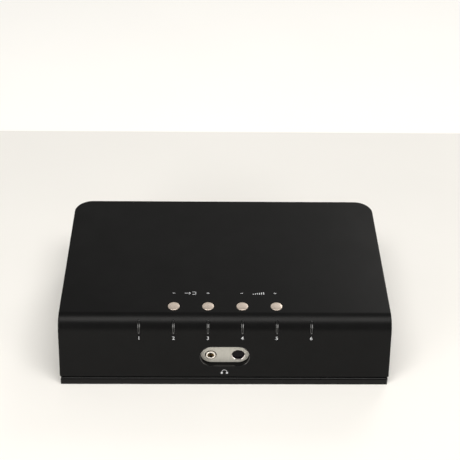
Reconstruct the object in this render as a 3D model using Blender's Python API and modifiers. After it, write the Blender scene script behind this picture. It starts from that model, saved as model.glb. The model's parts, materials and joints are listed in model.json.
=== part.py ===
"""Desktop digital-to-analogue converter: a die-cast cover over two boards, on a rubber plinth.

Metres, +Z up, +X to the right of someone facing the front, and the front towards -Y.
The origin is the centre of the underside.
"""

import math

import bmesh
import bpy
from mathutils import Matrix, Vector

MM = 0.001
GAP = 0.3 * MM  # air between pieces that rest on or fit into each other
RIGHT = "X"
BACK = "Y"
UP = "Z"
TURN_TO = {UP: (0, 0, 0), BACK: (-math.pi / 2, 0, 0)}

# Casing
WIDTH = 190 * MM
DEPTH = 120 * MM
HEIGHT = 44 * MM
WALL = 2.6 * MM
FRONT_LEAN = 5 * MM  # how much further back the top of the front is than its foot
SIDE_DRAFT = 0.9 * MM
FRONT_BEND = 9 * MM
REAR_CORNER = 11 * MM
EDGE_ROUND = 0.6 * MM

# Plinth and base plate
RUBBER_HEIGHT = 4.4 * MM
RUBBER_INSET = 0.5 * MM
SHADOW_GAP = 0.8 * MM
PLATE_THICKNESS = 1.5 * MM
STANDOFF_HEIGHT = 5 * MM
STANDOFF_RADIUS = 3 * MM
BOARD_THICKNESS = 1.6 * MM
BOARD_MARGIN = 2.5 * MM

# Fasteners
COLUMN_RADIUS = 3.5 * MM
COLUMN_FROM_SIDE = 10 * MM
COLUMN_FROM_END = 14 * MM
BASE_SCREW_RADIUS = 1.5 * MM
BASE_HEAD_RADIUS = 2.9 * MM
BASE_HEAD_HEIGHT = 1.8 * MM
BASE_SCREW_REACH = 9 * MM
SMALL_SCREW_RADIUS = 1.2 * MM
SMALL_HEAD_RADIUS = 2.4 * MM
SMALL_HEAD_HEIGHT = 1.6 * MM
SMALL_SCREW_REACH = 5 * MM
DRIVER_SLOT = 0.8 * MM
SCREW_FROM_EDGE = 4 * MM  # on the control board
STANDOFF_FROM_EDGE = Vector((5, 8, 0)) * MM

# Row of buttons and lights
PITCH = 19.5 * MM
LIGHT_COUNT = 6
BUTTON_NAMES = ("input_previous", "input_next", "volume_down", "volume_up")
BUTTON_RADIUS = 3.4 * MM
BUTTON_FROM_EDGE = 12.8 * MM  # behind the edge where the top and the front would meet
BUTTON_PROUD = 0.3 * MM
BUTTON_CHAMFER = 0.3 * MM
BUTTON_TRAVEL = 0.5 * MM
FLANGE_RADIUS = 4.6 * MM
FLANGE_THICKNESS = 0.8 * MM
STEM_RADIUS = 1.5 * MM
SWITCH_SIDE = 6.2 * MM
SWITCH_HEIGHT = 3.4 * MM
SWITCH_WELL = 2 * MM
FLANGE_CLEARANCE = 2 * MM  # between the flange and the key switch
CONTROL_BOARD_DEPTH = 21 * MM
CONTROL_FROM_WALL = 1.4 * MM
CONTROL_BOARD_WIDTH = 112 * MM
LED_SIZE = Vector((1.6, 1.4, 1.6)) * MM
LIGHT_SLOT_WIDTH = 2 * MM
LIGHT_SLOT_FOOT = 9 * MM  # below the top of the casing
LIGHT_SLOT_HEAD = 1.6 * MM
LIGHT_SUNK = 0.25 * MM

# Headphone recess
RECESS_WIDTH = 28.5 * MM
RECESS_HEIGHT = 13.5 * MM
RECESS_CENTRE = 14.2 * MM  # above the foot of the casing
RECESS_FLOOR = 5.8 * MM  # behind the foremost line of the casing
RECESS_BACK = 3 * MM
RECESS_FRAME = 4 * MM
FACE_PLATE_THICKNESS = 1 * MM
PLATE_HOLE_RADIUS = 3.4 * MM
WINDOW_HOLE_RADIUS = 3.5 * MM
FERRULE_RADIUS = 2.85 * MM
JACK_BORE_RADIUS = 1.8 * MM
FERRULE_PROUD = 0.4 * MM
FERRULE_LENGTH = 6 * MM
FERRULE_CHAMFER = 0.2 * MM
JACK_OFFSET = 8.1 * MM
WINDOW_OFFSET = 7.7 * MM
JACK_BELOW_CENTRE = 0.85 * MM
JACK_SIZE = Vector((11, 14, 10)) * MM
WINDOW_THICKNESS = 3 * MM
WINDOW_SUNK = 0.3 * MM
WINDOW_CROWN = 0.2 * MM
RECEIVER_SIZE = Vector((6, 5, 9)) * MM

# Rear panel
PANEL_THICKNESS = 1.5 * MM
PANEL_SUNK = 1 * MM
PANEL_SIDE_MARGIN = 12.5 * MM
PANEL_TOP_MARGIN = 5.5 * MM
PANEL_SCREW_DROP = 5.2 * MM
PANEL_BOSS_SIDE = 7 * MM
PANEL_BOSS_LENGTH = 12 * MM
SOCKET_PROUD = 0.5 * MM
ROCKER_HOUSING = Vector((12, 14, 18)) * MM
BEZEL_RIM = 1.5 * MM
BEZEL_PROUD = 1.8 * MM
BEZEL_CHAMFER = 0.4 * MM
ROCKER_WIDTH = 8.6 * MM
ROCKER_HALF_HEIGHT = 7.2 * MM
ROCKER_END = 3.4 * MM
ROCKER_MIDDLE = 2.2 * MM
ROCKER_ROOT = 2.5 * MM
ROCKER_TILT = math.radians(8)
ROCKER_PIVOT_SUNK = 2.3 * MM
ROCKER_SWING_ROOM = 1.4 * MM
DC_SIZE = Vector((9, 13, 11)) * MM
DC_NOSE_RADIUS = 4 * MM
DC_BORE_RADIUS = 3.2 * MM
DC_PIN_RADIUS = 1 * MM
DC_DEPTH = 9 * MM
USB_SIZE = Vector((12, 16, 10.9)) * MM
USB_OPENING = Vector((8.5, 9, 7.8)) * MM
USB_CHAMFER = 1.8 * MM
USB_CORE = Vector((5.6, 8, 3.2)) * MM
OPTICAL_SIZE = Vector((10, 13.6, 10)) * MM
OPTICAL_CAVITY = 6.6 * MM
OPTICAL_DEPTH = 10 * MM
SHUTTER_THICKNESS = 0.7 * MM
SHUTTER_SUNK = 1 * MM
COAX_SIZE = Vector((10, 12, 10)) * MM
PHONO_RADIUS = 4.15 * MM
PHONO_BORE_RADIUS = 1.7 * MM
PHONO_LENGTH = 9 * MM
PHONO_DEPTH = 8 * MM
STACK_SIZE = Vector((11, 12, 21.5)) * MM
STACK_PITCH = 12.5 * MM
ANTENNA_RADIUS = 3.1 * MM
ANTENNA_NUT_RADIUS = 4.6 * MM
ANTENNA_NUT_LENGTH = 2 * MM
ANTENNA_LENGTH = 9 * MM
ANTENNA_BORE_RADIUS = 1.2 * MM
ANTENNA_DEPTH = 5 * MM
ANTENNA_INSIDE = 6 * MM  # behind the panel

# Parts on the main board
CHIP_HEIGHT = 1.4 * MM
CONVERTER_SIDE = 10 * MM
USB_CHIP_SIDE = 14 * MM
WIRELESS_SIZE = Vector((16, 24, 3)) * MM
RIBBON_WIDTH = 14 * MM
RIBBON_THICKNESS = 0.6 * MM
RIBBON_BULGE = 5 * MM
RIBBON_FROM_EDGE = 4 * MM

# Heights and places that follow from the sizes above
COVER_FOOT = RUBBER_HEIGHT + SHADOW_GAP
PLATE_LOW = RUBBER_HEIGHT + GAP
PLATE_TOP = PLATE_LOW + PLATE_THICKNESS
BOARD_LOW = PLATE_TOP + STANDOFF_HEIGHT + GAP
BOARD_TOP = BOARD_LOW + BOARD_THICKNESS
CEILING = HEIGHT - WALL
FRONT_EDGE = -DEPTH / 2 + FRONT_LEAN
BUTTON_Y = FRONT_EDGE + BUTTON_FROM_EDGE
FLANGE_TOP = CEILING - GAP
FLANGE_LOW = FLANGE_TOP - FLANGE_THICKNESS
SWITCH_TOP = FLANGE_LOW - FLANGE_CLEARANCE
SWITCH_LOW = SWITCH_TOP - SWITCH_HEIGHT
STEM_END = SWITCH_TOP - SWITCH_WELL + BUTTON_TRAVEL + 2 * GAP
CONTROL_TOP = SWITCH_LOW - GAP
CONTROL_LOW = CONTROL_TOP - BOARD_THICKNESS
CONTROL_FRONT = FRONT_EDGE + WALL + CONTROL_FROM_WALL
CONTROL_BACK = CONTROL_FRONT + CONTROL_BOARD_DEPTH
CONTROL_SCREW_Y = BUTTON_Y + SWITCH_SIDE
CONTROL_SCREW_X = CONTROL_BOARD_WIDTH / 2 - SCREW_FROM_EDGE
RECESS_Z = COVER_FOOT + RECESS_CENTRE
JACK_Z = RECESS_Z - JACK_BELOW_CENTRE
RECESS_HOLES = (
    ("jack", -JACK_OFFSET, PLATE_HOLE_RADIUS),
    ("window", WINDOW_OFFSET, WINDOW_HOLE_RADIUS),
)
FLOOR_Y = -DEPTH / 2 + RECESS_FLOOR
FACE_PLATE_Y = FLOOR_Y - GAP - FACE_PLATE_THICKNESS
PAD_BACK = FLOOR_Y + RECESS_BACK
PANEL_OUTER = DEPTH / 2 - PANEL_SUNK
PANEL_INNER = PANEL_OUTER - PANEL_THICKNESS
PANEL_HALF_WIDTH = WIDTH / 2 - PANEL_SIDE_MARGIN
PANEL_TOP = HEIGHT - PANEL_TOP_MARGIN - GAP
PANEL_SCREW_Z = PANEL_TOP - PANEL_SCREW_DROP
SOCKET_FACE = PANEL_OUTER + SOCKET_PROUD
BOARD_FRONT = PAD_BACK + GAP
BOARD_BACK = PANEL_INNER - BOARD_MARGIN
BOARD_HALF_WIDTH = WIDTH / 2 - COLUMN_FROM_SIDE - COLUMN_RADIUS - BOARD_MARGIN
OVERRUN = 1 * MM  # how far a cutter runs past a face

PARTS = "desktop_dac"
CUTTERS = "desktop_dac_cutters"
BLACK = (0.012, 0.012, 0.013)
CHARCOAL = (0.02, 0.02, 0.021)
SILVER = (0.55, 0.54, 0.52)
STEEL = (0.35, 0.35, 0.36)
GREEN = (0.02, 0.11, 0.05)
WHITE = (0.7, 0.7, 0.68)
SMOKE = (0.05, 0.05, 0.055)
GOLD = (0.75, 0.52, 0.2)


def clear_scene():
    for obj in list(bpy.data.objects):
        bpy.data.objects.remove(obj, do_unlink=True)
    for name in (PARTS, CUTTERS):
        if name not in bpy.data.collections:
            bpy.context.scene.collection.children.link(bpy.data.collections.new(name))


def finish(obj, colour, roughness=0.5, metallic=0.0):
    """Gives a piece its own material and smooth shading, and puts it with the parts."""
    material = bpy.data.materials.new(obj.name)
    material.use_nodes = True
    shader = material.node_tree.nodes["Principled BSDF"]
    shader.inputs["Base Color"].default_value = (*colour, 1)
    shader.inputs["Roughness"].default_value = roughness
    shader.inputs["Metallic"].default_value = metallic
    obj.data.materials.clear()
    obj.data.materials.append(material)
    obj.data.shade_smooth()
    obj.data.set_sharp_from_angle(angle=math.radians(30))
    bpy.data.collections[PARTS].objects.link(obj)
    return obj


def level(edge):
    return abs(edge.verts[0].co.z - edge.verts[1].co.z) < EDGE_ROUND


def mesh_object(name, mesh_builder, place=(0, 0, 0), along=UP):
    """An object whose mesh comes from a bmesh, standing at a place with its own +Z along an axis."""
    mesh = bpy.data.meshes.new(name)
    mesh_builder.normal_update()
    mesh_builder.to_mesh(mesh)
    mesh_builder.free()
    obj = bpy.data.objects.new(name, mesh)
    obj.location = place
    obj.rotation_euler = TURN_TO[along]
    return obj


def box(name, size, centre, bevel=0.0, parallel=None, segments=1):
    """A box; bevel rounds all its edges, or only those parallel to one axis."""
    bm = bmesh.new()
    bmesh.ops.create_cube(bm, size=1)
    bmesh.ops.scale(bm, vec=size, verts=bm.verts)
    if bevel:
        chosen = [edge for edge in bm.edges if parallel is None or runs_along(edge, parallel)]
        bmesh.ops.bevel(bm, geom=chosen, offset=bevel, segments=segments, profile=0.5, affect="EDGES")
    return mesh_object(name, bm, centre)


def runs_along(edge, axis):
    direction = (edge.verts[1].co - edge.verts[0].co).normalized()
    return abs(direction["XYZ".index(axis)]) > 0.999


def span_box(name, low, high, **rounding):
    """A box between two opposite corners."""
    low, high = Vector(low), Vector(high)
    return box(name, high - low, (low + high) / 2, **rounding)


def rod(name, radius, length, start, along=UP, segments=24):
    """A cylinder from its start, running along an axis."""
    bm = bmesh.new()
    bmesh.ops.create_cone(
        bm, cap_ends=True, segments=segments, radius1=radius, radius2=radius, depth=length,
        matrix=Matrix.Translation((0, 0, length / 2)),
    )
    return mesh_object(name, bm, start, along)


def turned(name, profile, place, along=UP, steps=24):
    """A turned piece: (radius, height) points from the top of its axis, down its outer side, to the foot."""
    bm = bmesh.new()
    points = [bm.verts.new((radius, 0, height)) for radius, height in profile]
    for first, second in zip(points, points[1:]):
        bm.edges.new((first, second))
    obj = mesh_object(name, bm, place, along)
    screw = obj.modifiers.new("Turn", "SCREW")
    screw.steps = steps
    screw.render_steps = steps
    screw.use_merge_vertices = True
    screw.merge_threshold = 0.00001
    return obj


def half_width(z):
    return WIDTH / 2 - SIDE_DRAFT * (z - COVER_FOOT) / (HEIGHT - COVER_FOOT)


def front_y(z):
    return -DEPTH / 2 + FRONT_LEAN * (z - COVER_FOOT) / (HEIGHT - COVER_FOOT)


def casing_block(name, inset, low, high, bent=True):
    """The casing's outline, moved inwards, between two heights, with its front bend and rear corners."""
    middle = (low + high) / 2
    bm = bmesh.new()
    bmesh.ops.create_cube(bm, size=2)
    for vertex in bm.verts:
        side, end, upper = vertex.co
        z = high if upper > 0 else low
        y = DEPTH / 2 - inset if end > 0 else front_y(z) + inset
        vertex.co = (side * (half_width(z) - inset), y, z)
    if bent:
        lean = math.atan2(FRONT_LEAN, HEIGHT - COVER_FOOT)
        tangent = (FRONT_BEND - inset) * math.tan((math.pi / 2 - lean) / 2)
        front_top = [e for e in bm.edges if all(v.co.y < 0 and v.co.z > middle for v in e.verts)]
        bmesh.ops.bevel(bm, geom=front_top, offset=tangent, segments=12, profile=0.5, affect="EDGES")
    rear = [e for e in bm.edges if all(v.co.y > 0 for v in e.verts) and not level(e)]
    bmesh.ops.bevel(bm, geom=rear, offset=REAR_CORNER - inset, segments=8, profile=0.5, affect="EDGES")
    return mesh_object(name, bm)


def helper(obj):
    """Makes an object a cutter or a piece to join, which is not a part."""
    obj.hide_render = True
    obj.display_type = "WIRE"
    bpy.data.collections[CUTTERS].objects.link(obj)
    return obj


def combine(obj, other, operation):
    modifier = obj.modifiers.new(other.name, "BOOLEAN")
    modifier.operation = operation
    modifier.object = helper(other)
    modifier.solver = "EXACT"


def cut(obj, *others):
    for other in others:
        combine(obj, other, "DIFFERENCE")


def join(obj, *others):
    for other in others:
        combine(obj, other, "UNION")


def round_edges(obj, width, segments=2):
    bevel = obj.modifiers.new("Edges", "BEVEL")
    bevel.width = width
    bevel.segments = segments
    bevel.limit_method = "ANGLE"
    bevel.angle_limit = math.radians(30)


def row(count, pitch):
    """Places along X of a row of things, centred."""
    return [(index - (count - 1) / 2) * pitch for index in range(count)]


def column_places():
    """Where the base screws go up into the casing."""
    x = WIDTH / 2 - COLUMN_FROM_SIDE
    y = DEPTH / 2 - COLUMN_FROM_END
    return [(-x, -y), (x, -y), (-x, y), (x, y)]


def standoff_places():
    """Where the main board is screwed down."""
    x = BOARD_HALF_WIDTH - STANDOFF_FROM_EDGE.x
    front = BOARD_FRONT + STANDOFF_FROM_EDGE.y
    middle = (BOARD_FRONT + BOARD_BACK) / 2
    return [(-x, front), (x, front), (-x, middle), (x, middle)]


def socket_places():
    """The X of each thing on the rear panel, from the power switch to the antenna, with even gaps."""
    housing = ROCKER_HOUSING.x + 2 * BEZEL_RIM
    widths = {
        "power_switch": housing,
        "dc": DC_SIZE.x,
        "usb": USB_SIZE.x,
        "optical_1": OPTICAL_SIZE.x,
        "optical_2": OPTICAL_SIZE.x,
        "coax_1": COAX_SIZE.x,
        "coax_2": COAX_SIZE.x,
        "line_fixed": STACK_SIZE.x,
        "line_variable": STACK_SIZE.x,
        "antenna": 2 * ANTENNA_NUT_RADIUS,
    }
    space = (2 * PANEL_HALF_WIDTH - sum(widths.values())) / (len(widths) + 1)
    places = {}
    x = PANEL_HALF_WIDTH
    for name, width in widths.items():
        places[name] = x - space - width / 2
        x -= space + width
    return places


def panel_screw_places():
    """The panel's screws sit above the lowest sockets."""
    places = socket_places()
    return [places["usb"], places["coax_2"]]


def make_cover():
    cover = casing_block("top_cover", 0, COVER_FOOT, HEIGHT)
    round_edges(cover, EDGE_ROUND)
    cut(cover, casing_block("cover_hollow", WALL, COVER_FOOT - OVERRUN, CEILING))
    rear_low = (-PANEL_HALF_WIDTH - GAP, DEPTH / 2 - WALL - OVERRUN, COVER_FOOT - OVERRUN)
    rear_high = (PANEL_HALF_WIDTH + GAP, DEPTH / 2 + OVERRUN, PANEL_TOP + GAP)
    cut(cover, span_box("rear_opening", rear_low, rear_high))
    root = CEILING + WALL / 2
    for number, (x, y) in enumerate(column_places(), 1):
        foot = PLATE_TOP + GAP
        join(cover, rod(f"cover_column_{number}", COLUMN_RADIUS, root - foot, (x, y, foot)))
    for number, x in enumerate(control_screw_places(), 1):
        foot = CONTROL_TOP + GAP
        join(cover, rod(f"cover_post_{number}", STANDOFF_RADIUS, root - foot, (x, CONTROL_SCREW_Y, foot)))
    for number, x in enumerate(panel_screw_places(), 1):
        boss_back = PANEL_INNER - GAP
        half = PANEL_BOSS_SIDE / 2
        low = (x - half, boss_back - PANEL_BOSS_LENGTH, PANEL_SCREW_Z - half)
        join(cover, span_box(f"panel_boss_{number}", low, (x + half, boss_back, root)))
    join(cover, recess_pad())
    cut_cover_openings(cover)
    finish(cover, BLACK, 0.5)


def recess_pad():
    """The thicker wall around the headphone recess; its front follows the middle of the leaning wall."""
    half_x = RECESS_WIDTH / 2 + RECESS_FRAME
    half_z = RECESS_HEIGHT / 2 + RECESS_FRAME
    pad = span_box(
        "recess_pad", (-half_x, FLOOR_Y, RECESS_Z - half_z), (half_x, PAD_BACK, RECESS_Z + half_z)
    )
    for vertex in pad.data.vertices:
        if vertex.co.y < 0:
            z = vertex.co.z + pad.location.z
            vertex.co.y = front_y(z) + WALL / 2 - pad.location.y
    return pad


def cut_cover_openings(cover):
    ahead = -DEPTH / 2 - OVERRUN
    cut(cover, obround("recess", RECESS_WIDTH, RECESS_HEIGHT, ahead, FLOOR_Y, RECESS_Z))
    for name, x, radius in RECESS_HOLES:
        length = PAD_BACK + OVERRUN - ahead
        cut(cover, rod(f"recess_{name}_hole", radius, length, (x, ahead, JACK_Z), BACK))
    for number, x in enumerate(row(LIGHT_COUNT, PITCH), 1):
        half = LIGHT_SLOT_WIDTH / 2
        low = (x - half, ahead, HEIGHT - LIGHT_SLOT_FOOT)
        high = (x + half, CONTROL_FRONT, HEIGHT - LIGHT_SLOT_HEAD)
        cut(cover, round_ended(f"light_slot_{number}", low, high, half))
    for name, x in zip(BUTTON_NAMES, row(len(BUTTON_NAMES), PITCH)):
        start = (x, BUTTON_Y, FLANGE_LOW)
        cut(cover, rod(f"{name}_hole", BUTTON_RADIUS + GAP, 2 * WALL, start, segments=32))
    for number, (x, y) in enumerate(column_places(), 1):
        start = (x, y, PLATE_TOP)
        cut(cover, screw_hole(f"column_thread_{number}", BASE_SCREW_RADIUS, BASE_SCREW_REACH + GAP, start))
    for number, x in enumerate(control_screw_places(), 1):
        start = (x, CONTROL_SCREW_Y, CONTROL_TOP)
        cut(cover, screw_hole(f"post_thread_{number}", SMALL_SCREW_RADIUS, SMALL_SCREW_REACH, start))
    for number, x in enumerate(panel_screw_places(), 1):
        start = (x, PANEL_INNER - SMALL_SCREW_REACH, PANEL_SCREW_Z)
        length = SMALL_SCREW_REACH + OVERRUN
        cut(cover, screw_hole(f"panel_thread_{number}", SMALL_SCREW_RADIUS, length, start, BACK))


def screw_hole(name, screw_radius, length, start, along=UP):
    """A cutter for a clearance hole."""
    return rod(name, screw_radius + GAP, length, start, along, segments=16)


def round_ended(name, low, high, radius):
    """A slot-shaped block between two corners, with round ends seen from the front."""
    return span_box(name, low, high, bevel=radius * 0.999, parallel=BACK, segments=4)


def obround(name, width, height, front, back, z, x=0.0):
    """A flat shape with round ends, standing in the XZ plane, between two places along Y."""
    size = (width, back - front, height)
    rounding = height * 0.4999
    return box(name, size, (x, (front + back) / 2, z), rounding, BACK, segments=10)


def control_screw_places():
    """One near each end of the control board."""
    return [-CONTROL_SCREW_X, CONTROL_SCREW_X]


def make_base():
    rubber = casing_block("rubber_base", RUBBER_INSET, 0, RUBBER_HEIGHT, bent=False)
    straighten(rubber)
    round_edges(rubber, EDGE_ROUND)
    plate = casing_block("base_plate", WALL + GAP, PLATE_LOW, PLATE_TOP, bent=False)
    for number, (x, y) in enumerate(standoff_places(), 1):
        start = (x, y, PLATE_LOW + PLATE_THICKNESS / 2)
        height = STANDOFF_HEIGHT + PLATE_THICKNESS / 2
        join(plate, rod(f"standoff_{number}", STANDOFF_RADIUS, height, start))
        start = (x, y, PLATE_LOW - OVERRUN)
        length = PLATE_THICKNESS + STANDOFF_HEIGHT + 2 * OVERRUN
        cut(plate, screw_hole(f"standoff_thread_{number}", SMALL_SCREW_RADIUS, length, start))
    for number, (x, y) in enumerate(column_places(), 1):
        length = RUBBER_HEIGHT + 2 * OVERRUN
        cut(rubber, rod(f"rubber_well_{number}", BASE_HEAD_RADIUS + GAP, length, (x, y, -OVERRUN)))
        length = PLATE_THICKNESS + 2 * OVERRUN
        start = (x, y, PLATE_LOW - OVERRUN)
        cut(plate, screw_hole(f"plate_hole_{number}", BASE_SCREW_RADIUS, length, start))
    finish(rubber, CHARCOAL, 0.8)
    finish(plate, STEEL, 0.4, 1)


def straighten(block):
    """Gives the plinth upright sides, set by the outline at the casing's foot."""
    for vertex in block.data.vertices:
        if vertex.co.z == 0:
            continue
        twin = min(
            (other for other in block.data.vertices if other.co.z == 0),
            key=lambda other: (other.co.xy - vertex.co.xy).length,
        )
        vertex.co.xy = twin.co.xy


def screw(name, radius, reach, head_radius, head_height, place):
    """A pan-head screw pointing up, whose head bears at the place."""
    profile = [
        (0, reach), (radius, reach), (radius, 0), (head_radius, 0), (head_radius, -head_height * 0.6),
        (head_radius * 0.8, -head_height), (0, -head_height),
    ]
    obj = turned(name, profile, place, steps=16)
    slot = box(f"{name}_slot", (DRIVER_SLOT, 3 * head_radius, head_height), (0, 0, -head_height))
    slot.parent = obj
    cut(obj, slot)
    return finish(obj, STEEL, 0.35, 1)


def make_screws():
    for number, (x, y) in enumerate(column_places(), 1):
        underside = PLATE_LOW - GAP
        reach = PLATE_TOP - underside + BASE_SCREW_REACH - GAP
        place = (x, y, underside)
        screw(f"base_screw_{number}", BASE_SCREW_RADIUS, reach, BASE_HEAD_RADIUS, BASE_HEAD_HEIGHT, place)
    for number, (x, y) in enumerate(standoff_places(), 1):
        small_screw(f"board_screw_{number}", (x, y, BOARD_TOP + GAP), "down")
    for side, x in zip(("left", "right"), control_screw_places()):
        small_screw(f"control_screw_{side}", (x, CONTROL_SCREW_Y, CONTROL_LOW - GAP), "up")
    for side, x in zip(("right", "left"), panel_screw_places()):
        small_screw(f"panel_screw_{side}", (x, PANEL_OUTER + GAP, PANEL_SCREW_Z), "forward")


def small_screw(name, place, heading):
    """A small screw driven up, down, or forward from behind."""
    obj = screw(name, SMALL_SCREW_RADIUS, SMALL_SCREW_REACH, SMALL_HEAD_RADIUS, SMALL_HEAD_HEIGHT, place)
    turns = {"up": 0, "down": math.pi, "forward": math.pi / 2}
    obj.rotation_euler = (turns[heading], 0, 0)


def make_boards():
    through = BOARD_THICKNESS + 2 * OVERRUN
    main = span_box(
        "main_board",
        (-BOARD_HALF_WIDTH, BOARD_FRONT, BOARD_LOW),
        (BOARD_HALF_WIDTH, BOARD_BACK, BOARD_TOP),
    )
    for number, (x, y) in enumerate(standoff_places(), 1):
        start = (x, y, BOARD_LOW - OVERRUN)
        cut(main, screw_hole(f"main_board_hole_{number}", SMALL_SCREW_RADIUS, through, start))
    finish(main, GREEN, 0.4)
    half = CONTROL_BOARD_WIDTH / 2
    low = (-half, CONTROL_FRONT, CONTROL_LOW)
    control = span_box("control_board", low, (half, CONTROL_BACK, CONTROL_TOP))
    for number, x in enumerate(control_screw_places(), 1):
        start = (x, CONTROL_SCREW_Y, CONTROL_LOW - OVERRUN)
        cut(control, screw_hole(f"control_hole_{number}", SMALL_SCREW_RADIUS, through, start))
    finish(control, GREEN, 0.4)


def make_chips():
    """The converter, the USB receiver and the wireless module stand on the main board."""
    low = BOARD_TOP + GAP
    middle = (BOARD_FRONT + BOARD_BACK) / 2
    places = socket_places()
    chips = (
        ("converter_chip", Vector((CONVERTER_SIDE, CONVERTER_SIDE, CHIP_HEIGHT)), places["coax_2"], middle),
        ("usb_chip", Vector((USB_CHIP_SIDE, USB_CHIP_SIDE, CHIP_HEIGHT)), places["optical_1"], middle),
        ("wireless_module", WIRELESS_SIZE, places["line_variable"], BOARD_FRONT + WIRELESS_SIZE.y),
    )
    for name, size, x, y in chips:
        obj = box(name, size, (x, y, low + size.z / 2), bevel=GAP)
        finish(obj, STEEL if name == "wireless_module" else BLACK, 0.4)


def make_ribbon():
    """A flat cable from the control board down to the main board, bulging backwards."""
    low = BOARD_TOP + GAP
    high = CONTROL_LOW - GAP
    y = CONTROL_BACK - RIBBON_FROM_EDGE
    steps = 10
    bm = bmesh.new()
    pairs = []
    for index in range(steps + 1):
        part = index / steps
        back = y + RIBBON_BULGE * math.sin(math.pi * part) ** 2
        z = low + (high - low) * part
        pairs.append([bm.verts.new((x, back, z)) for x in (-RIBBON_WIDTH / 2, RIBBON_WIDTH / 2)])
    for (a, b), (c, d) in zip(pairs, pairs[1:]):
        bm.faces.new((a, b, d, c))
    ribbon = mesh_object("ribbon_cable", bm)
    thicken = ribbon.modifiers.new("Thickness", "SOLIDIFY")
    thicken.thickness = RIBBON_THICKNESS
    thicken.offset = 0
    finish(ribbon, WHITE, 0.5)


def make_buttons():
    """Each cap has a flange that keeps it in the casing and a stem that reaches into its key switch."""
    top = HEIGHT + BUTTON_PROUD
    chamfer = BUTTON_CHAMFER
    for name, x in zip(BUTTON_NAMES, row(len(BUTTON_NAMES), PITCH)):
        profile = [
            (0, 0), (BUTTON_RADIUS - chamfer, 0), (BUTTON_RADIUS, -chamfer),
            (BUTTON_RADIUS, FLANGE_TOP - top), (FLANGE_RADIUS, FLANGE_TOP - top),
            (FLANGE_RADIUS, FLANGE_LOW - top), (STEM_RADIUS, FLANGE_LOW - top),
            (STEM_RADIUS, STEM_END - top), (0, STEM_END - top),
        ]
        finish(turned(f"{name}_button", profile, (x, BUTTON_Y, top), steps=32), SILVER, 0.35, 1)
        size = Vector((SWITCH_SIDE, SWITCH_SIDE, SWITCH_HEIGHT))
        switch = box(f"{name}_key_switch", size, (x, BUTTON_Y, SWITCH_LOW + SWITCH_HEIGHT / 2))
        start = (x, BUTTON_Y, SWITCH_TOP - SWITCH_WELL)
        cut(switch, rod(f"{name}_well", STEM_RADIUS + GAP, 2 * SWITCH_WELL, start))
        finish(switch, BLACK, 0.5)


def make_lights():
    """Smoked light guides follow the front bend, each with its diode on the control board."""
    half = LIGHT_SLOT_WIDTH / 2 - GAP
    back = CONTROL_FRONT - GAP
    for number, x in enumerate(row(LIGHT_COUNT, PITCH), 1):
        low = (x - half, -DEPTH / 2, HEIGHT - LIGHT_SLOT_FOOT + GAP)
        high = (x + half, back, HEIGHT - LIGHT_SLOT_HEAD - GAP)
        guide = round_ended(f"light_guide_{number}", low, high, half)
        outline = casing_block(f"guide_outline_{number}", LIGHT_SUNK, COVER_FOOT, HEIGHT - LIGHT_SUNK)
        combine(guide, outline, "INTERSECT")
        finish(guide, SMOKE, 0.1)
        centre = (x, CONTROL_FRONT + GAP + LED_SIZE.y / 2, CONTROL_TOP + GAP + LED_SIZE.z / 2)
        finish(box(f"status_led_{number}", LED_SIZE, centre), WHITE, 0.3)


def make_headphone_parts():
    plate = obround(
        "headphone_plate", RECESS_WIDTH - 2 * GAP, RECESS_HEIGHT - 2 * GAP, FACE_PLATE_Y,
        FACE_PLATE_Y + FACE_PLATE_THICKNESS, RECESS_Z,
    )
    for name, x, radius in RECESS_HOLES:
        start = (x, FACE_PLATE_Y - OVERRUN, JACK_Z)
        length = FACE_PLATE_THICKNESS + 2 * OVERRUN
        cut(plate, rod(f"plate_{name}_hole", radius, length, start, BACK, segments=32))
    finish(plate, SILVER, 0.4, 1)
    make_jack()
    make_window()


def make_window():
    """The dark window and the receiver behind it."""
    front = FACE_PLATE_Y + WINDOW_SUNK
    radius = WINDOW_HOLE_RADIUS - GAP
    lens = [
        (0, WINDOW_THICKNESS), (radius, WINDOW_THICKNESS), (radius, 2 * WINDOW_CROWN),
        (radius * 0.6, WINDOW_CROWN / 2), (0, 0),
    ]
    finish(turned("ir_window", lens, (WINDOW_OFFSET, front, JACK_Z), BACK), BLACK, 0.1)
    size = RECEIVER_SIZE
    centre = (WINDOW_OFFSET, PAD_BACK + 2 * GAP + size.y / 2, BOARD_TOP + GAP + size.z / 2)
    finish(box("ir_receiver", size, centre, bevel=GAP), BLACK, 0.4)


def make_jack():
    """The socket body on the main board, and the ferrule that shows in the recess."""
    front = PAD_BACK + GAP
    size = JACK_SIZE
    tip = FACE_PLATE_Y - FERRULE_PROUD
    centre = (-JACK_OFFSET, front + size.y / 2, BOARD_TOP + GAP + size.z / 2)
    body = box("headphone_jack", size, centre)
    seat_end = tip + FERRULE_LENGTH + GAP
    ahead = (-JACK_OFFSET, front - OVERRUN, JACK_Z)
    cut(
        body,
        rod("jack_seat", FERRULE_RADIUS + GAP, seat_end - ahead[1], ahead, BACK),
        rod("jack_bore", JACK_BORE_RADIUS, size.y, ahead, BACK),
    )
    finish(body, BLACK, 0.5)
    chamfer = FERRULE_CHAMFER
    ring = [
        (JACK_BORE_RADIUS, FERRULE_LENGTH), (FERRULE_RADIUS, FERRULE_LENGTH), (FERRULE_RADIUS, chamfer),
        (FERRULE_RADIUS - chamfer, 0), (JACK_BORE_RADIUS + chamfer, 0), (JACK_BORE_RADIUS, chamfer),
        (JACK_BORE_RADIUS, FERRULE_LENGTH),
    ]
    finish(turned("jack_ferrule", ring, (-JACK_OFFSET, tip, JACK_Z), BACK), SILVER, 0.2, 1)


def seated(height):
    """The middle height of a socket of this height that stands on the main board."""
    return BOARD_TOP + GAP + height / 2


def phono_heights():
    """The middles of the two jacks in a stack."""
    middle = seated(STACK_SIZE.z)
    return [middle - STACK_PITCH / 2, middle + STACK_PITCH / 2]


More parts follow.
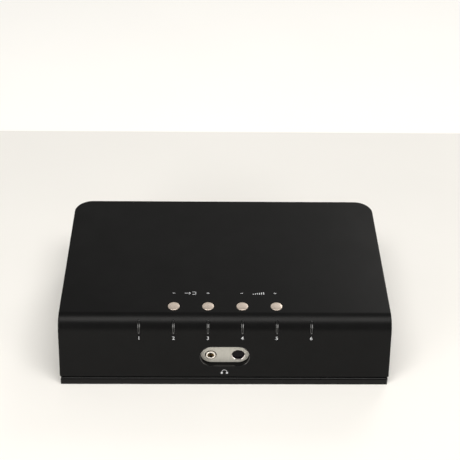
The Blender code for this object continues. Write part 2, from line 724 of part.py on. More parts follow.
def make_rear_panel():
    panel = span_box(
        "rear_panel",
        (-PANEL_HALF_WIDTH, PANEL_INNER, COVER_FOOT),
        (PANEL_HALF_WIDTH, PANEL_OUTER, PANEL_TOP),
    )
    places = socket_places()
    behind = PANEL_INNER - OVERRUN
    through = PANEL_THICKNESS + 2 * OVERRUN
    square = (
        ("power_switch", ROCKER_HOUSING),
        ("usb", USB_SIZE),
        ("optical_1", OPTICAL_SIZE),
        ("optical_2", OPTICAL_SIZE),
    )
    for name, size in square:
        half = Vector((size.x / 2 + GAP, 0, size.z / 2 + GAP))
        centre = Vector((places[name], behind, seated(size.z)))
        cut(panel, span_box(f"panel_{name}_hole", centre - half, centre + half + Vector((0, through, 0))))
    round_holes = [("dc", DC_NOSE_RADIUS, DC_SIZE.z), ("antenna", ANTENNA_RADIUS, ROCKER_HOUSING.z),
                   ("coax_1", PHONO_RADIUS, COAX_SIZE.z), ("coax_2", PHONO_RADIUS, COAX_SIZE.z)]
    for name, radius, height in round_holes:
        start = (places[name], behind, seated(height))
        cut(panel, rod(f"panel_{name}_hole", radius + GAP, through, start, BACK))
    for name in ("line_fixed", "line_variable"):
        for number, z in enumerate(phono_heights(), 1):
            start = (places[name], behind, z)
            cut(panel, rod(f"panel_{name}_hole_{number}", PHONO_RADIUS + GAP, through, start, BACK))
    for number, x in enumerate(panel_screw_places(), 1):
        start = (x, behind, PANEL_SCREW_Z)
        cut(panel, screw_hole(f"panel_screw_hole_{number}", SMALL_SCREW_RADIUS, through, start, BACK))
    finish(panel, BLACK, 0.5)


def make_power_switch():
    x = socket_places()["power_switch"]
    z = seated(ROCKER_HOUSING.z)
    size = ROCKER_HOUSING
    face = PANEL_OUTER + BEZEL_PROUD
    housing = span_box(
        "power_switch_housing",
        (x - size.x / 2, PANEL_INNER - size.y, z - size.z / 2),
        (x + size.x / 2, face - BEZEL_PROUD / 2, z + size.z / 2),
    )
    rim = Vector((size.x / 2 + BEZEL_RIM, 0, size.z / 2 + BEZEL_RIM))
    middle = Vector((x, PANEL_OUTER + GAP, z))
    bezel_high = middle + rim + Vector((0, BEZEL_PROUD - GAP, 0))
    join(housing, span_box("bezel", middle - rim, bezel_high, bevel=BEZEL_CHAMFER))
    pivot = Vector((x, face - ROCKER_PIVOT_SUNK, z))
    half_opening = ROCKER_HALF_HEIGHT + ROCKER_SWING_ROOM
    half_room = ROCKER_WIDTH / 2 + GAP
    low = (x - half_room, pivot.y - ROCKER_ROOT - ROCKER_SWING_ROOM, z - half_opening)
    cut(housing, span_box("rocker_room", low, (x + half_room, face + OVERRUN, z + half_opening)))
    finish(housing, BLACK, 0.4)
    rocker = box("power_rocker", (1, 1, 1), (0, 0, 0))
    shape_rocker(rocker)
    rocker.location = pivot
    rocker.rotation_euler = (-ROCKER_TILT, 0, 0)
    finish(rocker, BLACK, 0.3)


def shape_rocker(rocker):
    """Turns a cube into a rocker: two wings that meet in a shallow valley in front of the pivot."""
    bm = bmesh.new()
    bmesh.ops.create_cube(bm, size=1)
    across = [edge for edge in bm.edges if runs_along(edge, UP)]
    bmesh.ops.subdivide_edges(bm, edges=across, cuts=1)
    for vertex in bm.verts:
        at_end = abs(vertex.co.z) > 0.1
        face = ROCKER_END if at_end else ROCKER_MIDDLE
        root = ROCKER_ROOT * (0.2 if at_end else 1)
        vertex.co = Vector((
            vertex.co.x * ROCKER_WIDTH,
            face if vertex.co.y > 0 else -root,
            vertex.co.z * 2 * ROCKER_HALF_HEIGHT,
        ))
    bm.to_mesh(rocker.data)
    bm.free()


def make_dc_socket():
    x = socket_places()["dc"]
    z = seated(DC_SIZE.z)
    low = (x - DC_SIZE.x / 2, PANEL_INNER - GAP - DC_SIZE.y, z - DC_SIZE.z / 2)
    body = span_box("dc_socket", low, (x + DC_SIZE.x / 2, PANEL_INNER - GAP, z + DC_SIZE.z / 2))
    middle = PANEL_INNER - DC_SIZE.y / 2
    join(body, rod("dc_nose", DC_NOSE_RADIUS, SOCKET_FACE - middle, (x, middle, z), BACK))
    bore_end = SOCKET_FACE - DC_DEPTH
    cut(body, rod("dc_bore", DC_BORE_RADIUS, DC_DEPTH + OVERRUN, (x, bore_end, z), BACK))
    join(body, rod("dc_pin", DC_PIN_RADIUS, DC_DEPTH, (x, bore_end - OVERRUN, z), BACK, segments=12))
    finish(body, BLACK, 0.4)


def make_usb_socket():
    x = socket_places()["usb"]
    size = USB_SIZE
    z = seated(size.z)
    low = (x - size.x / 2, SOCKET_FACE - size.y, z - size.z / 2)
    body = span_box("usb_socket", low, (x + size.x / 2, SOCKET_FACE, z + size.z / 2))
    opening = USB_OPENING
    mouth = box("usb_opening", (opening.x, 2 * opening.y, opening.z), (x, SOCKET_FACE, z))
    chamfer_top(mouth, USB_CHAMFER)
    cut(body, mouth)
    core_end = SOCKET_FACE - opening.y
    core_low = (x - USB_CORE.x / 2, core_end - OVERRUN, z - USB_CORE.z / 2)
    core_high = (x + USB_CORE.x / 2, core_end + USB_CORE.y, z + USB_CORE.z / 2)
    join(body, span_box("usb_core", core_low, core_high))
    finish(body, STEEL, 0.3, 1)


def chamfer_top(obj, width):
    bm = bmesh.new()
    bm.from_mesh(obj.data)
    edges = [e for e in bm.edges if runs_along(e, BACK) and e.verts[0].co.z > 0]
    bmesh.ops.bevel(bm, geom=edges, offset=width, segments=1, profile=0.5, affect="EDGES")
    bm.to_mesh(obj.data)
    bm.free()


def make_optical_sockets():
    """Each has a square cavity, closed at its mouth by a sprung shutter that hangs from its top edge."""
    size = OPTICAL_SIZE
    z = seated(size.z)
    half = OPTICAL_CAVITY / 2
    for number in (1, 2):
        x = socket_places()[f"optical_{number}"]
        low = (x - size.x / 2, SOCKET_FACE - size.y, z - size.z / 2)
        body = span_box(f"optical_socket_{number}", low, (x + size.x / 2, SOCKET_FACE, z + size.z / 2))
        cavity_low = (x - half, SOCKET_FACE - OPTICAL_DEPTH, z - half)
        cavity_high = (x + half, SOCKET_FACE + OVERRUN, z + half)
        cut(body, span_box(f"optical_cavity_{number}", cavity_low, cavity_high))
        finish(body, BLACK, 0.4)
        pin_radius = SHUTTER_THICKNESS / 2
        axis = (x, SOCKET_FACE - SHUTTER_SUNK, z + half - GAP - pin_radius)
        width = OPTICAL_CAVITY - 2 * GAP
        drop = OPTICAL_CAVITY - 2 * GAP - pin_radius
        shutter = span_box(
            f"optical_shutter_{number}",
            (-width / 2, -pin_radius, -drop),
            (width / 2, pin_radius, pin_radius),
            bevel=pin_radius * 0.6, parallel=RIGHT, segments=2,
        )
        shift_mesh(shutter)
        shutter.location = axis
        finish(shutter, BLACK, 0.4)


def shift_mesh(obj):
    """Moves an object's place into its mesh, so that its origin is the world's."""
    obj.data.transform(Matrix.Translation(obj.location))
    obj.location = (0, 0, 0)


def phono_barrel(name, x, z):
    """A phono jack's barrel, from inside its body out through the panel, and its bore."""
    start = PANEL_INNER - COAX_SIZE.y / 2
    tip = PANEL_OUTER + PHONO_LENGTH
    barrel = rod(f"{name}_barrel", PHONO_RADIUS, tip - start, (x, start, z), BACK)
    bore_start = (x, tip - PHONO_DEPTH, z)
    bore = rod(f"{name}_bore", PHONO_BORE_RADIUS, PHONO_DEPTH + OVERRUN, bore_start, BACK, segments=16)
    return barrel, bore


def make_phono_sockets():
    heights = {
        "coax_1": ("coax_socket_1", COAX_SIZE, [seated(COAX_SIZE.z)]),
        "coax_2": ("coax_socket_2", COAX_SIZE, [seated(COAX_SIZE.z)]),
        "line_fixed": ("line_out_fixed", STACK_SIZE, phono_heights()),
        "line_variable": ("line_out_variable", STACK_SIZE, phono_heights()),
    }
    for place, (name, size, middles) in heights.items():
        x = socket_places()[place]
        back = PANEL_INNER - GAP
        low = (x - size.x / 2, back - size.y, BOARD_TOP + GAP)
        body = span_box(name, low, (x + size.x / 2, back, BOARD_TOP + GAP + size.z))
        for number, z in enumerate(middles, 1):
            barrel, bore = phono_barrel(f"{name}_{number}", x, z)
            join(body, barrel)
            cut(body, bore)
        finish(body, SILVER, 0.3)


def make_antenna_socket():
    x = socket_places()["antenna"]
    z = seated(ROCKER_HOUSING.z)
    nut_low = PANEL_THICKNESS + GAP
    nut_high = nut_low + ANTENNA_NUT_LENGTH
    profile = [
        (0, ANTENNA_LENGTH - ANTENNA_DEPTH), (ANTENNA_BORE_RADIUS, ANTENNA_LENGTH - ANTENNA_DEPTH),
        (ANTENNA_BORE_RADIUS, ANTENNA_LENGTH), (ANTENNA_RADIUS, ANTENNA_LENGTH),
        (ANTENNA_RADIUS, nut_high), (ANTENNA_NUT_RADIUS, nut_high),
        (ANTENNA_NUT_RADIUS, nut_low), (ANTENNA_RADIUS, nut_low),
        (ANTENNA_RADIUS, -GAP), (ANTENNA_NUT_RADIUS, -GAP),
        (ANTENNA_NUT_RADIUS, -ANTENNA_INSIDE), (0, -ANTENNA_INSIDE),
    ]
    finish(turned("antenna_socket", profile, (x, PANEL_INNER, z), BACK), GOLD, 0.3, 1)


def main():
    clear_scene()
    make_cover()
    make_base()
    make_screws()
    make_boards()
    make_chips()
    make_ribbon()
    make_buttons()
    make_lights()
    make_headphone_parts()
    make_rear_panel()
    make_power_switch()
    make_dc_socket()
    make_usb_socket()
    make_optical_sockets()
    make_phono_sockets()
    make_antenna_socket()


main()
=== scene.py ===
"""Looks of the desktop converter: fine pieces, materials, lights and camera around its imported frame.

Lengths are in millimetres until a piece is finished, which scales it to the frame's metres. Only
the lights and the floor are placed in metres.
"""

import json
import math

import bmesh
import bpy
from mathutils import Matrix, Vector


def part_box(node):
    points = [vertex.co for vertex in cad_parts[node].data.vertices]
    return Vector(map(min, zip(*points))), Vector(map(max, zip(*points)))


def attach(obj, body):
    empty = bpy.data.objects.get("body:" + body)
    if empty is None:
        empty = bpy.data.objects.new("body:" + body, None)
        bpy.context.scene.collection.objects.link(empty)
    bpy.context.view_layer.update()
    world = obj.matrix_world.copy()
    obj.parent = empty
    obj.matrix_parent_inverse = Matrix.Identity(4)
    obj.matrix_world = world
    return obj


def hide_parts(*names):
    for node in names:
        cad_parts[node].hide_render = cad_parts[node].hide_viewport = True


MM = 0.001
RIGHT = Vector((1, 0, 0))
BACK = Vector((0, 1, 0))
UP = Vector((0, 0, 1))

# Camera
SENSOR = 36.0
LENS = 90.7
CAMERA_ELEVATION = math.radians(37.172)
CAMERA_YAW = math.radians(1.313)
CAMERA_ROLL = math.radians(1.042)
CAMERA_DISTANCE = 680.1
CAMERA_TARGET = Vector((2.92, 0, 66.42))

# Casing
WALL = 2.6
FRONT_LEAN = 5.0
SIDE_DRAFT = 0.9
FRONT_BEND = 9.0
REAR_CORNER = 11.0
EDGE_ROUND = 0.6
RIM_ROUND = 0.14
BASE_LIP = 0.2
BASE_TOE = 0.95
BASE_ROUND = 1.2
BASE_FOOT_SHARE = 0.13

# Openings and what stands in them
GAP = 0.3
BUTTON_RADIUS = 3.4
PLATE_HOLE_RADIUS = 3.4
WINDOW_HOLE_RADIUS = 3.5
WINDOW_BEZEL = 0.32
RECESS_FRAME = 4.0
PHONO_PITCH = 12.5
PHONO_HOLE_RADIUS = 4.45
DC_HOLE_RADIUS = 4.3
ANTENNA_HOLE_RADIUS = 3.4
SCREW_HOLE_RADIUS = 1.5
SCREW_WELL_RADIUS = 3.2
SWITCH_RIM = 1.5

# Meshing and shading
SMOOTH_ANGLE = math.radians(32)
FINE = 64
FULL_ROUND = 0.9999

# Row of buttons and lights
PITCH = 19.5
BUTTON_NAMES = ("input_previous", "input_next", "volume_down", "volume_up")
LIGHT_COUNT = 6

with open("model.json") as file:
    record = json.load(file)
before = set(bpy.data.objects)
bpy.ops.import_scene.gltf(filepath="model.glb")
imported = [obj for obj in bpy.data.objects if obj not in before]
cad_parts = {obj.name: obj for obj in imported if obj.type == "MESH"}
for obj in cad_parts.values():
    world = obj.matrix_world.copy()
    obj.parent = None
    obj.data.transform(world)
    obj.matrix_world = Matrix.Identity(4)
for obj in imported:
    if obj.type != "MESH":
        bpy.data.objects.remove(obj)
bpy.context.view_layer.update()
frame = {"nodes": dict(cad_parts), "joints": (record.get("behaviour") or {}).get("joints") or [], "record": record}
BODY_OF = {
    node: body for body, nodes in frame["record"]["behaviour"]["bodies"].items() for node in nodes
}


def node_box(name):
    """A CAD node's lowest corner, highest corner and centre, in millimetres."""
    low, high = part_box(name)
    return low / MM, high / MM, (low + high) / 2 / MM


def middle_of(name):
    return node_box(name)[2]


COVER_LOW, COVER_HIGH, _ = node_box("top_cover")
WIDTH = COVER_HIGH.x - COVER_LOW.x
FOOT = COVER_LOW.z
TOP = COVER_HIGH.z
FRONT = COVER_LOW.y
REAR = COVER_HIGH.y
LEAN = math.atan2(FRONT_LEAN, TOP - FOOT)
PANEL_INSIDE = node_box("rear_panel")[0].y
PANEL_OUTSIDE = node_box("rear_panel")[1].y


# ---- geometry


def spaced(count, pitch):
    return [(index - (count - 1) / 2) * pitch for index in range(count)]


def half_width(z):
    return WIDTH / 2 - SIDE_DRAFT * (z - FOOT) / (TOP - FOOT)


def front_y(z):
    return FRONT + FRONT_LEAN * (z - FOOT) / (TOP - FOOT)


def basis(axis, place):
    """A matrix that stands local +Z along an axis, with its origin at a place."""
    if axis == BACK:
        turn = Matrix.Rotation(-math.pi / 2, 4, "X")
    elif axis == -BACK:
        turn = Matrix.Rotation(math.pi / 2, 4, "X")
    elif axis == RIGHT:
        turn = Matrix.Rotation(math.pi / 2, 4, "Y")
    elif axis == -UP:
        turn = Matrix.Rotation(math.pi, 4, "X")
    else:
        turn = Matrix.Identity(4)
    return Matrix.Translation(Vector(place)) @ turn


def linked(name, data):
    """A new object, linked so that its modifiers can be evaluated."""
    obj = bpy.data.objects.new(name, data)
    bpy.context.scene.collection.objects.link(obj)
    return obj


def meshed(builder):
    """A working object from a bmesh, which is used up."""
    mesh = bpy.data.meshes.new("work")
    builder.to_mesh(mesh)
    builder.free()
    return linked("work", mesh)


def solid(builder):
    """A working object with its faces turned outwards."""
    bmesh.ops.recalc_face_normals(builder, faces=builder.faces)
    return meshed(builder)


def evaluated(obj):
    """A mesh of what an object's modifiers or its curve make."""
    graph = bpy.context.evaluated_depsgraph_get()
    return bpy.data.meshes.new_from_object(obj.evaluated_get(graph))


def bake(obj):
    """Puts what the modifiers make into the mesh."""
    mesh = evaluated(obj)
    obj.modifiers.clear()
    obj.data = mesh
    return obj


def boolean(obj, others, operation="DIFFERENCE"):
    """Cuts, joins or intersects an object with others, which are used up."""
    for other in others:
        modifier = obj.modifiers.new("boolean", "BOOLEAN")
        modifier.operation = operation
        modifier.object = other
        modifier.solver = "EXACT"
    bake(obj)
    for other in others:
        bpy.data.objects.remove(other, do_unlink=True)
    return obj


def soften(obj, width, segments=2, angle=42.0):
    """Rounds the edges that are sharper than an angle in degrees."""
    modifier = obj.modifiers.new("soften", "BEVEL")
    modifier.width = width
    modifier.segments = segments
    modifier.limit_method = "ANGLE"
    modifier.angle_limit = math.radians(angle)
    modifier.use_clamp_overlap = True
    modifier.miter_outer = "MITER_ARC"
    return bake(obj)


def rounded(points, radii, steps=6):
    """A closed outline with each corner replaced by an arc of its own radius."""
    outline = []
    count = len(points)
    for index, point in enumerate(points):
        corner = Vector(point)
        radius = radii[index] if isinstance(radii, (list, tuple)) else radii
        before = Vector(points[index - 1]) - corner
        after = Vector(points[(index + 1) % count]) - corner
        if radius <= 0:
            outline.append(corner)
            continue
        half = before.angle(after) / 2
        reach = radius / math.tan(half)
        start = corner + before.normalized() * reach
        end = corner + after.normalized() * reach
        inward = (before.normalized() + after.normalized()).normalized()
        centre = corner + inward * (radius / math.sin(half))
        for step in range(steps + 1):
            share = step / steps
            along = start.lerp(end, share) - centre
            outline.append(centre + along.normalized() * radius)
    return outline


def box_outline(width, height, centre=(0, 0)):
    x, y = centre
    return [
        (x - width / 2, y - height / 2), (x + width / 2, y - height / 2),
        (x + width / 2, y + height / 2), (x - width / 2, y + height / 2),
    ]


def skin(builder, rings, closed=False):
    """Faces between rings of vertices, where a ring of one vertex is a pole."""
    pairs = list(zip(rings, rings[1:]))
    if closed:
        pairs.append((rings[-1], rings[0]))
    count = max(len(ring) for ring in rings)
    for first, second in pairs:
        for step in range(count):
            after = (step + 1) % count
            corners = dict.fromkeys((
                first[step % len(first)], first[after % len(first)],
                second[after % len(second)], second[step % len(second)],
            ))
            if len(corners) > 2:
                builder.faces.new(list(corners))


def prism(outline, depth, axis=UP, place=(0, 0, 0)):
    """A closed outline carried along an axis. Along +Y, the outline's second number points down."""
    builder = bmesh.new()
    matrix = basis(axis, place)
    low = [builder.verts.new(matrix @ Vector((u, v, 0))) for u, v in outline]
    high = [builder.verts.new(matrix @ Vector((u, v, depth))) for u, v in outline]
    builder.faces.new(low)
    builder.faces.new(list(reversed(high)))
    skin(builder, [low, high])
    return solid(builder)


def block(low, high, radius=0.0, axis=UP, steps=5):
    """A box between two corners; radius rounds its four edges along an axis."""
    low, high = Vector(low), Vector(high)
    size, centre = high - low, (low + high) / 2
    if axis == UP:
        outline, start, depth = (size.x, size.y), Vector((centre.x, centre.y, low.z)), size.z
    elif axis == BACK:
        outline, start, depth = (size.x, size.z), Vector((centre.x, low.y, centre.z)), size.y
    else:
        outline, start, depth = (size.z, size.y), Vector((low.x, centre.y, centre.z)), size.x
    return prism(rounded(box_outline(*outline), radius, steps), depth, axis, start)


def capsule(width, height, front, back, x, z, steps=12):
    """A shape with round ends, seen from the front, between two places along Y."""
    radius = min(width, height) / 2 * FULL_ROUND
    outline = rounded(box_outline(width, height), radius, steps)
    return prism(outline, back - front, BACK, (x, front, z))


def turned(profile, place, axis=UP, steps=FINE, closed=False):
    """A turned piece from (radius, height) points; a closed profile makes a ring."""
    builder = bmesh.new()
    matrix = basis(axis, place)
    rings = []
    for radius, height in profile:
        if radius < 1e-6:
            rings.append([builder.verts.new(matrix @ Vector((0, 0, height)))])
            continue
        ring = []
        for step in range(steps):
            angle = 2 * math.pi * step / steps
            place_on_ring = Vector((radius * math.cos(angle), radius * math.sin(angle), height))
            ring.append(builder.verts.new(matrix @ place_on_ring))
        rings.append(ring)
    skin(builder, rings, closed)
    return solid(builder)


def rod(radius, length, place, axis=UP, steps=FINE):
    return turned([(0, 0), (radius, 0), (radius, length), (0, length)], place, axis, steps)


def tube(inner, outer, length, place, radii, corner_steps=3, steps=FINE):
    """A ring along +Y; the radii go round its section from the inner start."""
    section = [(inner, 0), (outer, 0), (outer, length), (inner, length)]
    return turned(rounded(section, radii, corner_steps), place, BACK, steps, closed=True)


def merged(objects):
    """Several working objects as one, with no boolean between them."""
    builder = bmesh.new()
    for obj in objects:
        builder.from_mesh(obj.data)
        bpy.data.objects.remove(obj, do_unlink=True)
    return meshed(builder)


def casing(inset, low, high, bent=True, bend_steps=28, corner_steps=18):
    """The casing's outline, moved inwards, between two heights, with its front bend and rear corners."""
    builder = bmesh.new()
    bmesh.ops.create_cube(builder, size=2)
    for vertex in builder.verts:
        side, end, upper = vertex.co
        z = high if upper > 0 else low
        y = REAR - inset if end > 0 else front_y(z) + inset
        vertex.co = (side * (half_width(z) - inset), y, z)
    if bent:
        tangent = (FRONT_BEND - inset) * math.tan((math.pi / 2 - LEAN) / 2)
        middle = (low + high) / 2
        front_top = [e for e in builder.edges if all(v.co.y < 0 and v.co.z > middle for v in e.verts)]
        bmesh.ops.bevel(
            builder, geom=front_top, offset=tangent, segments=bend_steps, profile=0.5, affect="EDGES"
        )
    rear = [
        e for e in builder.edges
        if all(v.co.y > 0 for v in e.verts) and abs(e.verts[0].co.z - e.verts[1].co.z) > 1
    ]
    bmesh.ops.bevel(
        builder, geom=rear, offset=REAR_CORNER - inset, segments=corner_steps, profile=0.5, affect="EDGES"
    )
    return solid(builder)


# ---- materials


class Finish:
    """A procedural material, built up from a shader with plain values."""

    def __init__(self, name, colour, roughness, metallic=0.0, **sockets):
        self.material = bpy.data.materials.new(name)
        self.material.use_nodes = True
        self.tree = self.material.node_tree
        self.shader = self.tree.nodes["Principled BSDF"]
        self.colour = colour
        self.roughness = roughness
        self.shader.inputs["Base Color"].default_value = (*colour, 1)
        self.shader.inputs["Roughness"].default_value = roughness
        self.shader.inputs["Metallic"].default_value = metallic
        for socket, value in sockets.items():
            self.shader.inputs[socket.replace("_", " ")].default_value = value

    def node(self, kind, **inputs):
        made = self.tree.nodes.new(kind)
        for name, value in inputs.items():
            made.inputs[name.replace("_", " ")].default_value = value
        return made

    def link(self, source, target):
        self.tree.links.new(source, target)

    def noise(self, grain_size, stretch=(1, 1, 1), detail=3.0):
        """Noise whose lumps are about so many millimetres across, stretched along the axes."""
        place = self.tree.nodes.new("ShaderNodeTexCoord")
        mapping = self.node("ShaderNodeMapping")
        mapping.inputs["Scale"].default_value = tuple(1 / s for s in stretch)
        noise = self.node("ShaderNodeTexNoise", Scale=1 / (2 * grain_size * MM), Detail=detail)
        self.link(place.outputs["Object"], mapping.inputs["Vector"])
        self.link(mapping.outputs["Vector"], noise.inputs["Vector"])
        return noise.outputs["Fac"]

    def mottled(self, change, grain_size, stretch=(1, 1, 1)):
        """Varies the colour up and down by a share."""
        ramp = self.tree.nodes.new("ShaderNodeValToRGB")
        levels = ((1 - change, 0.3), (1 + change, 0.7))
        for element, (share, position) in zip(ramp.color_ramp.elements, levels):
            element.position = position
            element.color = (*(min(1.0, part * share) for part in self.colour), 1)
        self.link(self.noise(grain_size, stretch), ramp.inputs["Fac"])
        self.link(ramp.outputs["Color"], self.shader.inputs["Base Color"])
        return self

    def smeared(self, change, grain_size, stretch=(1, 1, 1)):
        """Varies the roughness up and down by an amount."""
        spread = self.node("ShaderNodeMapRange", From_Min=0.25, From_Max=0.75)
        spread.inputs["To Min"].default_value = max(0.02, self.roughness - change)
        spread.inputs["To Max"].default_value = min(1.0, self.roughness + change)
        self.link(self.noise(grain_size, stretch), spread.inputs["Value"])
        self.link(spread.outputs["Result"], self.shader.inputs["Roughness"])
        return self

    def grained(self, grain_size, height, strength=1.0, stretch=(1, 1, 1), detail=2.0):
        """Fine bumps of a height in millimetres; repeated calls stack."""
        bump = self.node("ShaderNodeBump", Strength=strength, Distance=height * MM)
        self.link(self.noise(grain_size, stretch, detail), bump.inputs["Height"])
        normal = self.shader.inputs["Normal"]
        if normal.is_linked:
            self.link(normal.links[0].from_socket, bump.inputs["Normal"])
        self.link(bump.outputs["Normal"], normal)
        return self

    def worn(self, colour, reach=0.5):
        """Paints a second colour along edges: rubbed wear, and a painted highlight along each rounded edge."""
        geometry = self.tree.nodes.new("ShaderNodeNewGeometry")
        bevel = self.node("ShaderNodeBevel", Radius=reach * MM)
        bevel.samples = 4
        product = self.tree.nodes.new("ShaderNodeVectorMath")
        product.operation = "DOT_PRODUCT"
        edge = self.node("ShaderNodeMapRange", From_Min=0.99, From_Max=0.86)
        mix = self.tree.nodes.new("ShaderNodeMix")
        mix.data_type = "RGBA"
        first, second = [socket for socket in mix.inputs if socket.type == "RGBA"]
        output = [socket for socket in mix.outputs if socket.type == "RGBA"][0]
        self.link(bevel.outputs["Normal"], product.inputs[0])
        self.link(geometry.outputs["True Normal"], product.inputs[1])
        self.link(product.outputs["Value"], edge.inputs["Value"])
        self.link(edge.outputs["Result"], mix.inputs["Factor"])
        base = self.shader.inputs["Base Color"]
        self.link(base.links[0].from_socket, first)
        second.default_value = (*colour, 1)
        self.link(output, base)
        return self


def make_finishes():
    """Every material, by a short name."""
    finishes = {
        # the coat's lighter edge colour is rubbed wear and also a painted highlight along the edges
        "coat": Finish("powder_coat", (0.0036, 0.0036, 0.0037), 0.34, Specular_IOR_Level=0.12)
        .mottled(0.1, 6).smeared(0.04, 9).grained(0.16, 0.01).grained(0.5, 0.008, 0.6)
        .worn((0.009, 0.009, 0.0094)),
        "rim": Finish("recess_gloss", (0.006, 0.006, 0.0065), 0.16, Specular_IOR_Level=1.0)
        .mottled(0.1, 2).smeared(0.03, 1).grained(0.3, 0.003),
        "rubber": Finish("moulded_rubber", (0.002, 0.002, 0.0021), 0.24, Specular_IOR_Level=0.18)
        .mottled(0.12, 4).smeared(0.06, 3).grained(0.12, 0.012),
        "panel": Finish("panel_paint", (0.011, 0.011, 0.0115), 0.5, Specular_IOR_Level=0.35)
        .mottled(0.12, 5).smeared(0.05, 6).grained(0.14, 0.012),
        "plastic": Finish("moulded_plastic", (0.012, 0.012, 0.013), 0.42)
        .mottled(0.12, 3).smeared(0.06, 2).grained(0.1, 0.008),
        "satin": Finish("satin_plastic", (0.015, 0.015, 0.016), 0.34)
        .mottled(0.1, 3).smeared(0.05, 2).grained(0.12, 0.006),
        "cut": Finish("cut_aluminium", (0.9, 0.84, 0.82), 0.14, 1.0)
        .mottled(0.03, 0.5).smeared(0.03, 0.4).grained(0.2, 0.002),
        "plate": Finish("blasted_aluminium", (0.49, 0.477, 0.433), 0.6, 0.25)
        .mottled(0.05, 0.5, (1, 1, 6)).smeared(0.05, 0.3, (1, 1, 8))
        .grained(0.09, 0.006, 0.8, (1, 1, 8)),
        "button": Finish("satin_aluminium", (0.66, 0.565, 0.49), 0.32, 0.7)
        .mottled(0.06, 0.7).smeared(0.06, 0.4).grained(0.06, 0.004),
        "bright": Finish("bright_nickel", (0.93, 0.88, 0.81), 0.24, 1.0)
        .mottled(0.04, 0.8).smeared(0.04, 0.6).grained(0.3, 0.003),
        "gold": Finish("gold_plate", (0.83, 0.6, 0.27), 0.2, 1.0)
        .mottled(0.05, 0.8).smeared(0.05, 0.6).grained(0.2, 0.003),
        # the spring's dark brown colour is painted shade deep inside the headphone socket
        "spring": Finish("spring_painted_shade", (0.11, 0.075, 0.035), 0.4, 1.0)
        .mottled(0.1, 0.5).smeared(0.05, 0.5).grained(0.2, 0.004),
        "steel": Finish("plated_steel", (0.55, 0.55, 0.56), 0.3, 1.0)
        .mottled(0.08, 2).smeared(0.08, 1.5, (4, 1, 1)).grained(0.1, 0.003, 1.0, (6, 1, 1)),
        "zinc": Finish("black_zinc", (0.09, 0.09, 0.095), 0.34, 1.0)
        .mottled(0.12, 0.6).smeared(0.08, 0.4).grained(0.12, 0.004),
        "smoke": Finish("smoked_guide", (0.006, 0.006, 0.0065), 0.1, Coat_Weight=0.6, Coat_Roughness=0.04)
        .mottled(0.2, 0.6).smeared(0.03, 0.5).grained(0.4, 0.003),
        "core": Finish("guide_core", (0.004, 0.004, 0.0042), 0.5, Specular_IOR_Level=0.1)
        .mottled(0.2, 0.4).smeared(0.05, 0.5).grained(0.2, 0.003),
        "lens": Finish("window_gloss", (0.003, 0.0025, 0.004), 0.16, Specular_IOR_Level=0.12)
        .mottled(0.2, 0.8).smeared(0.02, 0.6).grained(0.5, 0.003),
        "board": Finish("solder_mask", (0.012, 0.075, 0.035), 0.35)
        .mottled(0.2, 1.2).smeared(0.05, 1).grained(0.3, 0.02),
        "chip": Finish("moulded_epoxy", (0.014, 0.014, 0.015), 0.5)
        .mottled(0.15, 0.7).smeared(0.05, 0.5).grained(0.08, 0.008),
        "cable": Finish("ribbon_jacket", (0.5, 0.5, 0.48), 0.5)
        .mottled(0.15, 0.6, (1, 8, 8)).smeared(0.05, 1).grained(0.3, 0.03, 1.0, (1, 12, 12)),
        "diode": Finish("clear_epoxy", (0.62, 0.62, 0.58), 0.18)
        .mottled(0.08, 0.5).smeared(0.03, 0.4).grained(0.2, 0.004),
        "ink": Finish("printed_ink", (0.56, 0.57, 0.59), 0.6)
        .mottled(0.08, 0.3).smeared(0.05, 0.3).grained(0.08, 0.004),
    }
    rings = {"white": (0.62, 0.61, 0.57), "red": (0.36, 0.02, 0.018), "orange": (0.55, 0.16, 0.02)}
    for name, colour in rings.items():
        insulator = Finish(f"{name}_insulator", colour, 0.4)
        finishes[name] = insulator.mottled(0.08, 1).smeared(0.05, 1).grained(0.1, 0.006)
    return finishes


FINISHES = make_finishes()


# ---- pieces


def shade(obj):
    obj.data.shade_smooth()
    obj.data.set_sharp_from_angle(angle=SMOOTH_ANGLE)
    weigh = obj.modifiers.new("normals", "WEIGHTED_NORMAL")
    weigh.keep_sharp = True
    weigh.weight = 80
    return obj


def piece(name, obj, finish, node, replaces=True):
    """Finishes a working object: metres, shading, material, body and slot of a CAD node."""
    obj.name = name
    obj.data.name = name
    obj.data.transform(Matrix.Scale(MM, 4))
    obj.data.materials.clear()
    obj.data.materials.append(FINISHES[finish].material)
    shade(obj)
    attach(obj, BODY_OF[node])
    if replaces:
        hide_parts(node)
    return obj


def restyle(node, finish):
    """Gives a carried-over CAD node a better material."""
    obj = frame["nodes"][node]
    obj.data.materials.clear()
    obj.data.materials.append(FINISHES[finish].material)


def make_cover():
    """The cast cover: bend, rounded edges, slots, button holes and the headphone recess."""
    cover = casing(0, FOOT, TOP)
    soften(cover, EDGE_ROUND, 4, 30)
    boolean(cover, cover_openings())
    soften(cover, RIM_ROUND, 2, 42)
    boolean(cover, cover_insides())
    piece("cover_shell", cover, "coat", "top_cover")


def recess_size():
    """The width and the height of the headphone recess."""
    low, high, _ = node_box("headphone_plate")
    return high.x - low.x + 2 * GAP, high.z - low.z + 2 * GAP


def cover_openings():
    """The recess, the light slots and the button holes."""
    ahead = FRONT - 2
    _, plate_high, plate = node_box("headphone_plate")
    cutters = [capsule(*recess_size(), ahead, plate_high.y + GAP, 0, plate.z)]
    for x in spaced(LIGHT_COUNT, PITCH):
        low, high, centre = node_box(light_node(x))
        slot_width, slot_height = high.x - low.x + 2 * GAP, high.z - low.z + 2 * GAP
        cutters.append(capsule(slot_width, slot_height, ahead, high.y, x, centre.z, 6))
    for name in BUTTON_NAMES:
        low, high, centre = node_box(f"{name}_button")
        cutters.append(rod(BUTTON_RADIUS + GAP, 20, (centre.x, centre.y, low.z), UP))
    return cutters


def light_node(x):
    return f"light_guide_{spaced(LIGHT_COUNT, PITCH).index(x) + 1}"


